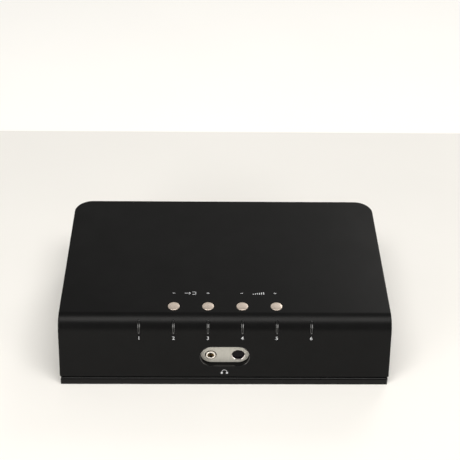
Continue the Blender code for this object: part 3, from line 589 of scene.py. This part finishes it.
def cover_insides():
    """The hollow, the rear opening and the holes through the recess floor."""
    panel_high = node_box("rear_panel")[1]
    half = panel_high.x + GAP
    low, _, jack = node_box("jack_ferrule")
    lens = middle_of("ir_window")
    through = 6.0
    return [
        casing_hollow(),
        block((-half, REAR - WALL - 1, FOOT - 1), (half, REAR + 1, panel_high.z + GAP), 0.8, BACK),
        rod(PLATE_HOLE_RADIUS, through, (jack.x, low.y, jack.z), BACK),
        rod(WINDOW_HOLE_RADIUS, through, (lens.x, low.y, lens.z), BACK),
    ]


def casing_hollow():
    """The inside of the cover, less the thicker wall around the headphone recess."""
    hollow = casing(WALL, FOOT - 1, TOP - WALL)
    plate_low, plate_high, _ = node_box("headphone_plate")
    frame_width = GAP + RECESS_FRAME
    floor_back = plate_high.y + GAP + 3.0
    pad_low = Vector((plate_low.x - frame_width, FRONT, plate_low.z - frame_width))
    pad_high = Vector((plate_high.x + frame_width, floor_back, plate_high.z + frame_width))
    return boolean(hollow, [block(pad_low, pad_high)])


def make_recess_rim():
    """The glossy chamfer round the headphone recess, which follows the leaning front."""
    centre_z = middle_of("headphone_plate").z
    width, height = recess_size()
    outline = rounded(box_outline(width, height), height / 2 * FULL_ROUND, 24)
    lining, flare, slope, lip, bite = 0.16, 0.5, 0.28, 0.5, 0.02
    section = (
        (slope + lip, -bite - lining), (slope, -bite - lining), (bite, flare - lining * 1.4),
        (bite, flare), (slope, -bite), (slope + lip, -bite),
    )
    builder = bmesh.new()
    rings = []
    for depth, spread in section:
        ring = []
        for u, v in outline:
            point = Vector((u, v)) * (1 + spread / Vector((u, v)).length)
            ring.append(builder.verts.new((point.x, front_y(centre_z - v) + depth, centre_z - point.y)))
        rings.append(ring)
    skin(builder, rings, closed=True)
    piece("recess_lining", solid(builder), "rim", "top_cover", replaces=False)


def make_base():
    """The rubber base: its lip under the cover, its toe ahead of it, the plate's bed and the wells."""
    high = node_box("rubber_base")[1]
    plate_high = node_box("base_plate")[1]
    rubber = casing(WIDTH / 2 - high.x, FOOT, high.z + BASE_LIP + FOOT, bent=False)
    for vertex in rubber.data.vertices:
        vertex.co.z -= FOOT
    straighten(rubber)
    for vertex in rubber.data.vertices:
        if vertex.co.y < 0:
            vertex.co.y -= BASE_TOE
    round_levels(rubber, BASE_ROUND, BASE_FOOT_SHARE)
    wells = [casing(WIDTH / 2 - plate_high.x - GAP, high.z + 0.02, high.z + 2, bent=False)]
    for number in range(1, 5):
        centre = middle_of(f"base_screw_{number}")
        wells.append(rod(SCREW_WELL_RADIUS, high.z + 2, (centre.x, centre.y, -1), UP))
    boolean(rubber, wells)
    soften(rubber, 0.25)
    piece("plinth", rubber, "rubber", "rubber_base")


def round_levels(obj, top_width, foot_share):
    """Rounds the sharp edges, those at the foot by a share of the width at the top."""
    builder = bmesh.new()
    builder.from_mesh(obj.data)
    weight = builder.edges.layers.float.new("bevel_weight_edge")
    middle = sum(vertex.co.z for vertex in builder.verts) / len(builder.verts)
    for edge in builder.edges:
        if edge.calc_face_angle(0) > math.radians(30):
            edge[weight] = 1 if edge.verts[0].co.z > middle else foot_share
    builder.to_mesh(obj.data)
    builder.free()
    modifier = obj.modifiers.new("round", "BEVEL")
    modifier.width = top_width
    modifier.segments = 5
    modifier.limit_method = "WEIGHT"
    bake(obj)


def straighten(obj):
    """Gives the plinth upright sides, set by its outline at the foot."""
    lowest = min(vertex.co.z for vertex in obj.data.vertices)
    feet = [vertex.co.copy() for vertex in obj.data.vertices if vertex.co.z < lowest + 0.01]
    for vertex in obj.data.vertices:
        if vertex.co.z < lowest + 0.01:
            continue
        foot = min(feet, key=lambda other: (other.xy - vertex.co.xy).length)
        vertex.co.x, vertex.co.y = foot.x, foot.y


def make_buttons():
    """Turned caps, slightly crowned, with a rounded edge."""
    for name in BUTTON_NAMES:
        low, high, centre = node_box(f"{name}_button")
        crown, edge = 0.18, 0.34
        flange_top, flange_foot, flange_radius, stem_radius = -2.9, -3.7, 4.6, 1.5
        rise = [(BUTTON_RADIUS * share, -crown * share**2) for share in (0, 0.2, 0.4, 0.6, 0.78)]
        arc = []
        for step in range(8):
            angle = math.radians(90 - step * 90 / 7)
            arc.append((
                BUTTON_RADIUS - edge + edge * math.cos(angle),
                -crown - edge + edge * math.sin(angle),
            ))
        foot = low.z - high.z
        skirt = [
            (BUTTON_RADIUS, flange_top), (flange_radius, flange_top), (flange_radius, flange_foot),
            (stem_radius, flange_foot), (stem_radius, foot), (0, foot),
        ]
        cap = turned(rise + arc + skirt, (centre.x, centre.y, high.z))
        piece(f"{name}_cap", cap, "button", f"{name}_button")


def bend_point(share, sunk):
    """The (y, z) of a point that is a share of the way along the front bend, moved inwards."""
    tangent = FRONT_BEND * math.tan((math.pi / 2 - LEAN) / 2)
    corner_y = FRONT + FRONT_LEAN
    centre = Vector((corner_y + tangent, TOP - FRONT_BEND))
    radius = FRONT_BEND - sunk
    start = math.pi / 2
    end = math.pi - LEAN
    angle = start + (end - start) * share
    return Vector((centre.x + radius * math.cos(angle), centre.y + radius * math.sin(angle)))


def make_light_guides():
    """Smoked guides that follow the bend: two rounded rails that meet at the ends, and a dull core."""
    for number in range(1, LIGHT_COUNT + 1):
        node = f"light_guide_{number}"
        low, high, centre = node_box(node)
        piece(f"light_lens_{number}", light_lens(low, high, centre.x, 0.9, 0.1, 0.24), "smoke", node)
        core = light_lens(low, high, centre.x, 0.36, 0.24, 0.0)
        piece(f"light_core_{number}", core, "core", node, replaces=False)


def rail_depth(side, valley):
    """How deep a guide's face lies across its width: a crest at each side and a valley between."""
    crest = 0.64
    if abs(side) > crest:
        return 0.5 * ((abs(side) - crest) / (1 - crest)) ** 2
    return valley * (1 - (side / crest) ** 2)


def light_lens(low, high, x, half, sunk, valley):
    """A strip that follows the bend, with a given half width, narrowed at its ends."""
    builder = bmesh.new()
    along, across = 30, 24
    margin = 0.2 if valley else -0.5
    top_z, foot_z = high.z + margin, low.z - margin
    places = [bend_point(step / 60, sunk) for step in range(61)]
    chosen = [point for point in places if foot_z < point.y < top_z]
    path = resampled(chosen + [Vector((front_y(foot_z) + sunk, foot_z))], along)
    rows = []
    length = sum((b - a).length for a, b in zip(path, path[1:]))
    run = 0.0
    for index, point in enumerate(path):
        if index:
            run += (point - path[index - 1]).length
        near_end = min(run, length - run)
        share = math.sqrt(max(0.0, 1 - (1 - min(near_end / (1.2 * half), 1)) ** 2)) * 0.94 + 0.06
        row = []
        for step in range(across + 1):
            side = step / across * 2 - 1
            depth = rail_depth(side, valley) * share
            row.append(builder.verts.new((x + half * share * side, point.x + depth, point.y)))
        rows.append(row)
    for first, second in zip(rows, rows[1:]):
        for step in range(across):
            builder.faces.new((first[step], first[step + 1], second[step + 1], second[step]))
    border = [edge for edge in builder.edges if edge.is_boundary]
    made = bmesh.ops.extrude_edge_only(builder, edges=border)["geom"]
    for vertex in {item for item in made if isinstance(item, bmesh.types.BMVert)}:
        vertex.co.y = high.y
    back = [edge for edge in builder.edges if edge.is_boundary]
    bmesh.ops.holes_fill(builder, edges=back)
    return solid(builder)


def resampled(points, count):
    """Evenly spaced points along a path."""
    lengths = [0.0]
    for first, second in zip(points, points[1:]):
        lengths.append(lengths[-1] + (second - first).length)
    made = []
    for step in range(count + 1):
        target = lengths[-1] * step / count
        index = max(i for i, run in enumerate(lengths) if run <= target + 1e-9)
        if index == len(points) - 1:
            made.append(points[-1].copy())
            continue
        share = (target - lengths[index]) / (lengths[index + 1] - lengths[index])
        made.append(points[index].lerp(points[index + 1], share))
    return made


def make_headphone_parts():
    """The plate with its two holes, the bright chamfer of the window, and what stands in the holes."""
    low, high, centre = node_box("headphone_plate")
    jack, lens = middle_of("jack_ferrule"), middle_of("ir_window")
    plate = capsule(high.x - low.x, high.z - low.z, low.y, high.y, centre.x, centre.z, 24)
    holes = [
        rod(PLATE_HOLE_RADIUS, 3, (jack.x, low.y - 1, jack.z), BACK),
        rod(WINDOW_HOLE_RADIUS + WINDOW_BEZEL, 3, (lens.x, low.y - 1, lens.z), BACK),
    ]
    boolean(plate, holes)
    soften(plate, 0.1, 3)
    piece("headphone_face", plate, "plate", "headphone_plate")
    inner, outer = WINDOW_HOLE_RADIUS - 0.08, WINDOW_HOLE_RADIUS + WINDOW_BEZEL
    slope, back = 0.24, 0.7
    cone = [(inner, slope), (outer, 0), (outer, back), (inner, back)]
    chamfer = turned(cone, (lens.x, low.y, lens.z), BACK, closed=True)
    piece("window_chamfer", chamfer, "cut", "headphone_plate", replaces=False)
    make_ferrule()
    make_window()
    restyle("headphone_jack", "plastic")
    restyle("ir_receiver", "chip")


def make_ferrule():
    """The bright ring round the headphone socket and the spring contact inside it, whose dark brown colour is
    painted shade.
    """
    low, high, centre = node_box("jack_ferrule")
    bore, spring_bore, spring_radius, spring_length, spring_start = 1.86, 1.35, 1.76, 4.6, 2.2
    place = Vector((centre.x, low.y, centre.z))
    ring = tube(bore, (high.x - low.x) / 2, high.y - low.y, place, [0.18, 0.25, 0.1, 0.1], 6)
    piece("jack_ring", ring, "bright", "jack_ferrule")
    # the spring contact's dark colour is painted shade inside the socket
    throat = tube(spring_bore, spring_radius, spring_length, place + BACK * spring_start, 0.08)
    piece("jack_throat", throat, "spring", "jack_ferrule", replaces=False)


def make_window():
    """The dark domed lens of the remote receiver, set back behind the plate's face."""
    _, high, centre = node_box("ir_window")
    radius = WINDOW_HOLE_RADIUS - 0.1
    crown, shoulder, setback = 0.15, 0.12, 0.28
    front = node_box("headphone_plate")[0].y + setback
    dome = [(radius * share, crown * share**2) for share in (0, 0.2, 0.4, 0.6, 0.8, 0.93)]
    back = high.y - front
    profile = dome + [(radius, crown + shoulder), (radius, back), (0, back)]
    piece("window_lens", turned(profile, (centre.x, front, centre.z), BACK), "lens", "ir_window")


# ---- rear


def make_rear_panel():
    """The panel with a fitted opening for each socket and screw."""
    low, high, _ = node_box("rear_panel")
    panel = block(low, high, 0.7, BACK)
    through = high.y - low.y + 2
    cutters = []
    for node in ("power_switch_housing", "usb_socket", "optical_socket_1", "optical_socket_2"):
        left_foot, right_head, _ = node_box(node)
        margin = GAP - (SWITCH_RIM if node == "power_switch_housing" else 0)
        start = (left_foot.x - margin, low.y - 1, left_foot.z - margin)
        end = (right_head.x + margin, high.y + 1, right_head.z + margin)
        cutters.append(block(start, end, 0.4, BACK))
    for (x, z), radius in round_openings():
        cutters.append(rod(radius, through, (x, low.y - 1, z), BACK))
    boolean(panel, cutters)
    soften(panel, 0.16)
    piece("rear_face", panel, "panel", "rear_panel")


def phono_places():
    """(node, x, z, insulator) of each phono jack."""
    places = []
    for node in ("coax_socket_1", "coax_socket_2"):
        centre = middle_of(node)
        places.append((node, centre.x, centre.z, "orange"))
    for node in ("line_out_fixed", "line_out_variable"):
        centre = middle_of(node)
        for offset, ring in ((-PHONO_PITCH / 2, "red"), (PHONO_PITCH / 2, "white")):
            places.append((node, centre.x, centre.z + offset, ring))
    return places


def round_openings():
    """((x, z), radius) of each round hole in the rear panel."""
    openings = [((x, z), PHONO_HOLE_RADIUS) for _, x, z, _ in phono_places()]
    others = (
        ("dc_socket", DC_HOLE_RADIUS), ("antenna_socket", ANTENNA_HOLE_RADIUS),
        ("panel_screw_left", SCREW_HOLE_RADIUS), ("panel_screw_right", SCREW_HOLE_RADIUS),
    )
    for node, radius in others:
        centre = middle_of(node)
        openings.append(((centre.x, centre.z), radius))
    return openings


def make_switch():
    """The switch's body and bezel, with room for the rocker."""
    low, high, centre = node_box("power_switch_housing")
    bezel_back = PANEL_OUTSIDE + GAP
    start = low + Vector((SWITCH_RIM, 0, SWITCH_RIM))
    body = block(start, (high.x - SWITCH_RIM, bezel_back + 0.2, high.z - SWITCH_RIM), 0.5, BACK)
    bezel = block((low.x, bezel_back, low.z), high, 1.1, BACK)
    soften(bezel, 0.45, 3)
    boolean(body, [bezel], "UNION")
    rocker_low, rocker_high, _ = node_box("power_rocker")
    half_height, floor = 8.6, low.y + 5
    room = block(
        (rocker_low.x - GAP, floor, centre.z - half_height),
        (rocker_high.x + GAP, high.y + 1, centre.z + half_height), 0.3, BACK,
    )
    boolean(body, [room])
    soften(body, 0.15)
    piece("switch_bezel", body, "satin", "power_switch_housing")
    make_rocker(rocker_high.x - rocker_low.x)


def make_rocker(width):
    """Two gently dished wings that meet in a valley in front of the pivot."""
    joint = next(j for j in frame["joints"] if j["name"] == "power_rock")
    pivot = Vector(joint["pos_m"]) / MM
    half, end, middle, edge_depth, keel = 7.2, 3.4, 2.2, 0.5, 2.5
    rest_tilt = math.radians(-8)
    face = []
    count = 12
    for index in range(count + 1):
        share = index / count * 2 - 1
        dish = 0.25 * math.sin(math.pi * abs(share))
        face.append((middle + (end - middle) * abs(share) - dish, share * half))
    outline = face + [(-edge_depth, half), (-keel, 0), (-edge_depth, -half)]
    rocker = prism([(-z, y) for y, z in outline], width, RIGHT, (-width / 2, 0, 0))
    soften(rocker, 0.35, 3)
    tilt = Matrix.Rotation(rest_tilt, 4, "X")
    rocker.data.transform(Matrix.Translation(pivot) @ tilt)
    piece("rocker_cap", rocker, "plastic", "power_rocker")


def make_dc_inlet():
    """The power inlet: a body behind the panel, a round nose through it and a centre pin."""
    low, high, centre = node_box("dc_socket")
    x, z = centre.x, centre.z
    bore, nose, length, depth = 3.2, 4.0, 9.6, 9
    body = block(low, (high.x, PANEL_INSIDE - GAP, high.z), 0.5, BACK)
    ring = tube(bore, nose, length, (x, high.y - length, z), [0.02, 0.02, 0.3, 0.4], 4)
    boolean(body, [rod(bore, depth, (x, high.y - depth, z), BACK)])
    boolean(body, [ring], "UNION")
    piece("dc_inlet", body, "plastic", "dc_socket")
    profile = [(1, -depth), (1, -1.3), (0.9, -1.05), (0.7, -0.9), (0, -0.85)]
    pin = turned(profile, (x, high.y, z), BACK, 32)
    piece("dc_pin", pin, "bright", "dc_socket", replaces=False)


def make_usb_inlet():
    """The data socket: a steel shell with a cornered mouth, a tongue and four contacts."""
    low, high, centre = node_box("usb_socket")
    shell = block(low, high, 0.9, BACK)
    mouth = rounded(
        [(-4.25, 3.9), (4.25, 3.9), (4.25, -2.1), (2.45, -3.9), (-2.45, -3.9), (-4.25, -2.1)], 0.3, 3
    )
    boolean(shell, [prism(mouth, 10, BACK, (centre.x, high.y - 9, centre.z))])
    soften(shell, 0.3, 3)
    piece("usb_shell", shell, "steel", "usb_socket")
    tongue_low = (centre.x - 2.8, high.y - 9.5, centre.z - 1.6)
    tongue = block(tongue_low, (centre.x + 2.8, high.y - 1.1, centre.z + 1.6), 0.2, BACK)
    soften(tongue, 0.25)
    piece("usb_tongue", tongue, "plastic", "usb_socket", replaces=False)
    contacts = []
    for x in (-1.25, 1.25):
        for z in (-1.62, 1.62):
            corner = Vector((centre.x + x - 0.5, high.y - 8.5, centre.z + z - 0.06))
            contacts.append(block(corner, corner + Vector((1.0, 6.6, 0.12)), 0.02, BACK))
    piece("usb_contacts", merged(contacts), "gold", "usb_socket", replaces=False)


def make_optical():
    """Each optical socket's body and its flap, which has a shallow panel sunk in its face."""
    half, depth, sunk = 3.3, 10, 0.14
    for number in (1, 2):
        low, high, centre = node_box(f"optical_socket_{number}")
        body = block(low, high, 0.4, BACK)
        start = (centre.x - half, high.y - depth, centre.z - half)
        boolean(body, [block(start, (centre.x + half, high.y + 1, centre.z + half), 0.5, BACK)])
        soften(body, 0.22, 3)
        piece(f"optical_body_{number}", body, "plastic", f"optical_socket_{number}")
        low, high, _ = node_box(f"optical_shutter_{number}")
        flap = block(low, high, 0.3, RIGHT)
        soften(flap, 0.12)
        start = (low.x + 1.1, high.y - sunk, low.z + 0.9)
        boolean(flap, [block(start, (high.x - 1.1, high.y + 1, high.z - 1.5), 0.4, BACK)])
        piece(f"shutter_flap_{number}", flap, "satin", f"optical_shutter_{number}")


def make_phonos():
    """A body behind the panel for each phono node, with one or two barrels through it."""
    face = PANEL_INSIDE - GAP
    for node in ("coax_socket_1", "coax_socket_2", "line_out_fixed", "line_out_variable"):
        low, high, _ = node_box(node)
        places = [place for place in phono_places() if place[0] == node]
        body = block(low, (high.x, face, high.z), 0.6, BACK)
        soften(body, 0.3)
        piece(f"{node}_body", body, "plastic", node)
        for number, (_, x, z, ring) in enumerate(places, 1):
            make_barrel(f"{node}_{number}", node, x, z, face, high.y, ring)


def make_barrel(name, node, x, z, back, tip, ring):
    """A phono barrel with its rolled lip, its insulator and its split centre contact."""
    place = (x, back, z)
    outer, groove, inner, length = 4.15, 4.03, 3.5, tip - back
    section = rounded(
        [(inner, 0), (outer, 0), (outer, length - 2.6), (groove, length - 2.4),
         (groove, length - 1.5), (outer, length - 1.3), (outer, length), (inner, length)],
        [0, 0, 0.05, 0.05, 0.05, 0.05, 0.3, 0.25], 3,
    )
    barrel = turned(section, place, BACK, closed=True)
    piece(f"{name}_barrel", barrel, "bright", node, False)
    insulator = tube(1.7, inner - 0.02, length - 1.0, place, [0, 0, 0.2, 0.3])
    piece(f"{name}_insulator", insulator, ring, node, False)
    contact = tube(1.3, 1.68, length - 1.25, place, [0, 0, 0.1, 0.15], steps=32)
    piece(f"{name}_contact", contact, "gold", node, False)


def make_antenna():
    """The threaded antenna socket, its nut and its washer."""
    low, high, centre = node_box("antenna_socket")
    x, z, tip, panel = centre.x, centre.z, high.y, PANEL_OUTSIDE
    crest, root, pitch, bore, body_radius = 3.1, 2.82, 0.5, 1.2, 4.6
    nut_high = panel + GAP + 2
    profile = [
        (0, tip - 5), (bore, tip - 5), (bore, tip - 0.25), (bore + 0.2, tip),
        (crest - 0.25, tip), (crest, tip - 0.25),
    ]
    y = tip - pitch
    while y > nut_high + 0.4:
        profile += [(crest, y), (root, y - pitch / 2)]
        y -= pitch
    profile += [(crest, nut_high), (crest, panel - 1.8), (body_radius, panel - 1.8)]
    profile += [(body_radius, low.y), (0, low.y)]
    piece("antenna_barrel", turned(profile, (x, 0, z), BACK), "gold", "antenna_socket")
    corners = [math.radians(60 * number + 30) for number in range(6)]
    hexagon = [(4.6 * math.cos(angle), 4.6 * math.sin(angle)) for angle in corners]
    nut = prism(rounded(hexagon, 0.3, 3), 1.6, BACK, (x, panel + GAP + 0.35, z))
    boolean(nut, [rod(crest + 0.02, 4, (x, panel - 1, z), BACK)])
    soften(nut, 0.18)
    piece("antenna_nut", nut, "gold", "antenna_socket", False)
    washer = tube(crest + 0.1, 4.7, 0.35, (x, panel + 0.02, z), 0.08, 2)
    piece("antenna_washer", washer, "bright", "antenna_socket", False)


def make_screw(name, node, height, shank, out):
    """A pan-head screw with a cross recess; out is the way its head faces."""
    low, high, centre = node_box(node)
    head = (high.x - low.x) / 2
    length = abs((high - low).dot(out))
    reach = length - height
    place = centre + out * (length / 2 - height)
    profile = [
        (0, height), (head * 0.35, height * 0.99), (head * 0.62, height * 0.9),
        (head * 0.82, height * 0.72), (head * 0.95, height * 0.42), (head, height * 0.15), (head, 0),
        (shank, 0), (shank, -reach), (0, -reach),
    ]
    obj = turned(profile, place, out, 48)
    arms = []
    matrix = basis(out, place)
    for turn in (0, math.pi / 2):
        arm = prism(rounded(box_outline(head * 1.15, head * 0.24), head * 0.08, 3), height)
        arm.data.transform(
            matrix @ Matrix.Translation((0, 0, height * 0.35)) @ Matrix.Rotation(turn + 0.4, 4, "Z")
        )
        arms.append(arm)
    boolean(obj, arms)
    soften(obj, 0.06, angle=50)
    piece(name, obj, "zinc", node)


def make_screws():
    """Two screws in the rear panel and four under the base."""
    for side in ("left", "right"):
        make_screw(f"panel_bolt_{side}", f"panel_screw_{side}", 1.6, 1.2, BACK)
    for number in range(1, 5):
        make_screw(f"base_bolt_{number}", f"base_screw_{number}", 1.8, 1.5, -UP)


def restyle_insides():
    """Gives each CAD node that has no piece of its own a finish."""
    finishes = {
        "base_plate": "steel", "wireless_module": "steel", "ribbon_cable": "cable",
        "main_board": "board", "control_board": "board", "converter_chip": "chip", "usb_chip": "chip",
    }
    for node, finish in finishes.items():
        restyle(node, finish)
    for node in frame["nodes"]:
        if node.startswith(("board_screw", "control_screw")):
            restyle(node, "zinc")
        elif node.startswith("status_led"):
            restyle(node, "diode")
        elif node.endswith("key_switch"):
            restyle(node, "plastic")


# ---- printing


INK_THICKNESS = 0.02
FRONT_NUMBER_HEIGHT = 2.3
REAR_NUMBER_HEIGHT = 2.2
TOP_SIGN_Y = -30.9
FRONT_NUMBER_Z = 32.4
HEADPHONE_SIGN_Z = 9.2
REAR_NUMBER_Z = 28.1


def on_top(x):
    return Matrix.Translation((x, TOP_SIGN_Y, TOP))


def on_front(x, z):
    return Matrix.Translation((x, front_y(z), z)) @ Matrix.Rotation(math.pi / 2 - LEAN, 4, "X")


def on_rear(x, z):
    half_turn = Matrix.Rotation(math.pi, 4, "Z")
    return Matrix.Translation((x, PANEL_OUTSIDE, z)) @ half_turn @ Matrix.Rotation(math.pi / 2, 4, "X")


def glyph(text, height):
    """A plain number as a flat solid, centred."""
    digit_share_of_size = 0.72
    curve = bpy.data.curves.new("glyph", "FONT")
    curve.body = text
    curve.size = height / digit_share_of_size
    curve.extrude = INK_THICKNESS
    curve.resolution_u = 6
    curve.align_x = "CENTER"
    curve.offset = height * 0.008
    obj = linked("glyph", curve)
    mesh = evaluated(obj)
    bpy.data.objects.remove(obj, do_unlink=True)
    mesh.transform(Matrix.Translation((0, -height / 2, 0)))
    return linked("work", mesh)


def flat(outline):
    return prism(outline, INK_THICKNESS * 2, UP, (0, 0, -INK_THICKNESS))


def dot(radius, x=0.0, y=0.0):
    return rod(radius, INK_THICKNESS * 2, (x, y, -INK_THICKNESS), UP, 24)


def bar(width, height, x=0.0, y=0.0, turn=0.0):
    made = flat(rounded(box_outline(width, height), min(width, height) * 0.3, 3))
    made.data.transform(Matrix.Translation((x, y, 0)) @ Matrix.Rotation(turn, 4, "Z"))
    return made


def arc_band(radius, width, start, end, x=0.0, y=0.0, steps=28):
    """Part of a ring, between two angles in degrees."""
    angles = [math.radians(start + (end - start) * step / steps) for step in range(steps + 1)]
    outline = []
    for reach, along in ((radius + width / 2, angles), (radius - width / 2, angles[::-1])):
        outline += [(x + reach * math.cos(angle), y + reach * math.sin(angle)) for angle in along]
    return flat(outline)


def printed(name, parts, place, node="top_cover"):
    """Puts ink on a face: the parts lie in the place's XY plane."""
    obj = merged(parts)
    obj.data.transform(place)
    piece(name, obj, "ink", node, replaces=False)


def make_printing():
    """Numbers under the lights, signs behind the buttons and a headphone under the recess."""
    for number, x in enumerate(spaced(LIGHT_COUNT, PITCH), 1):
        digit = glyph(str(number), FRONT_NUMBER_HEIGHT)
        printed(f"number_{number}", [digit], on_front(x, FRONT_NUMBER_Z))
    sign_size, stroke = 1.5, 0.36
    signs = (("input_minus", -29.4), ("input_plus", -9.8), ("volume_minus", 9.6), ("volume_plus", 28.8))
    for name, x in signs:
        parts = [bar(sign_size, stroke)]
        if name.endswith("plus"):
            parts.append(bar(stroke, sign_size))
        printed(name, parts, on_top(x))
    printed("input_sign", input_sign(), on_top(-19.5))
    printed("volume_sign", volume_sign(), on_top(19.3))
    printed("headphone_sign", headphone_sign(), on_front(-0.2, HEADPHONE_SIGN_Z))
    make_rear_printing()


def input_sign():
    """An arrow that runs into an open box."""
    stroke = 0.34
    return [
        bar(3.4, stroke, -2.0),
        bar(1.3, stroke, -0.7, 0.42, -math.pi / 4), bar(1.3, stroke, -0.7, -0.42, math.pi / 4),
        bar(stroke, 2.4, 2.6), bar(2.0, stroke, 1.7, 1.05), bar(2.0, stroke, 1.7, -1.05),
    ]


def volume_sign():
    """A row of bars that grow."""
    return [bar(0.5, 0.7 + 0.28 * step, -3.0 + 1.2 * step, 0.14 * step - 0.7) for step in range(6)]


def headphone_sign():
    """A band over two pads."""
    radius, stroke = 1.42, 0.24
    pads = [dot(0.66, x, -0.95) for x in (-1.5, 1.5)]
    arms = [bar(stroke, 0.7, x, -0.5) for x in (-radius, radius)]
    return pads + [arc_band(radius, stroke, 0, 180, 0, -0.25)] + arms


def make_rear_printing():
    """Numbers over the sockets, the switch's line and ring, and the power inlet's polarity."""
    panel = "rear_panel"
    numbered = (
        ("usb_socket", 0), ("optical_socket_1", 0), ("optical_socket_2", 0),
        ("coax_socket_1", 0), ("coax_socket_2", 0), ("antenna_socket", 2),
    )
    for number, (node, raised) in enumerate(numbered, 1):
        digit = glyph(str(number), REAR_NUMBER_HEIGHT)
        place = on_rear(middle_of(node).x, REAR_NUMBER_Z + raised)
        printed(f"rear_number_{number}", [digit], place, panel)
    switch = middle_of("power_switch_housing")
    mark_x, mark_rise = switch.x + 10.4, 5
    printed("switch_line", [bar(0.4, 2.0)], on_rear(mark_x, switch.z + mark_rise), panel)
    ring = arc_band(0.9, 0.36, 0, 359.9)
    printed("switch_ring", [ring], on_rear(mark_x, switch.z - mark_rise), panel)
    polarity = [arc_band(1.5, 0.3, 40, 320), dot(0.5), bar(1.6, 0.3, 2.6), bar(1.6, 0.3, -2.6)]
    printed("dc_sign", polarity, on_rear(middle_of("dc_socket").x, 27.6), panel)


# ---- stage


def make_camera():
    turn = (
        Matrix.Rotation(-CAMERA_YAW, 3, "Z")
        @ Matrix.Rotation(math.pi / 2 - CAMERA_ELEVATION, 3, "X")
        @ Matrix.Rotation(CAMERA_ROLL, 3, "Z")
    )
    data = bpy.data.cameras.new("camera")
    data.sensor_width = SENSOR
    data.lens = LENS
    data.clip_start = 0.01
    data.clip_end = 20
    camera = linked("camera", data)
    place = (CAMERA_TARGET + turn @ UP * CAMERA_DISTANCE) * MM
    camera.matrix_world = Matrix.LocRotScale(place, turn, None)
    bpy.context.scene.camera = camera


def area_light(name, place, aim, size, power, colour):
    data = bpy.data.lights.new(name, "AREA")
    data.shape = "RECTANGLE"
    data.size, data.size_y = size
    data.energy = power
    data.color = colour
    light = linked(name, data)
    light.location = place
    light.rotation_euler = (Vector(aim) - Vector(place)).to_track_quat("-Z", "Y").to_euler()


def make_studio_lights():
    """A dim room, a large soft light overhead, and boxes at the sides and behind."""
    world = bpy.data.worlds.new("studio")
    world.use_nodes = True
    background = world.node_tree.nodes["Background"]
    background.inputs["Color"].default_value = (1.0, 0.985, 0.95, 1)
    background.inputs["Strength"].default_value = 0.24
    bpy.context.scene.world = world
    warm = (1.0, 0.98, 0.945)
    area_light("overhead", (0.05, -0.36, 1.1), (0, 0, 0), (1.3, 0.55), 11.6, warm)
    area_light("left_box", (-0.66, -0.72, 0.25), (0, 0, 0.02), (0.44, 0.4), 3.2, warm)
    area_light("right_box", (0.66, -0.72, 0.25), (0, 0, 0.02), (0.44, 0.4), 2.1, warm)
    area_light("rear_right", (0.8, 1.5, 1.15), (0.05, 0, 0.04), (0.7, 0.5), 6, warm)
    area_light("rear_fill", (0.05, 1.6, 1.25), (0.05, 0, 0.04), (1.0, 0.5), 1.2, warm)


def make_floor():
    """Pale paper, which is slightly lighter beyond a line behind the object."""
    side, front, line, back = 3, -3, 0.212, 4
    near = Finish("floor_paper", (0.92, 0.905, 0.875), 0.7, Specular_IOR_Level=0.2)
    far = Finish(
        "far_paper", (0.95, 0.94, 0.915), 0.7, Specular_IOR_Level=0.2,
        Emission_Color=(1, 0.99, 0.96, 1), Emission_Strength=0.16,
    )
    for name, finish, start, end in (("floor", near, front, line), ("floor_beyond", far, line, back)):
        mesh = bpy.data.meshes.new(name)
        corners = [(-side, start, 0), (side, start, 0), (side, end, 0), (-side, end, 0)]
        mesh.from_pydata(corners, [], [(0, 1, 2, 3)])
        floor = linked(name, mesh)
        floor.data.materials.append(finish.mottled(0.01, 60).smeared(0.05, 30).grained(1.0, 0.01).material)


def set_colours():
    view = bpy.context.scene.view_settings
    view.view_transform = "Standard"
    view.look = "None"
    view.exposure = 0
    view.gamma = 1


def main():
    make_camera()
    make_cover()
    make_recess_rim()
    make_base()
    make_buttons()
    make_light_guides()
    make_headphone_parts()
    make_rear_panel()
    make_switch()
    make_dc_inlet()
    make_usb_inlet()
    make_optical()
    make_phonos()
    make_antenna()
    make_screws()
    restyle_insides()
    make_printing()
    make_studio_lights()
    make_floor()
    set_colours()


main()
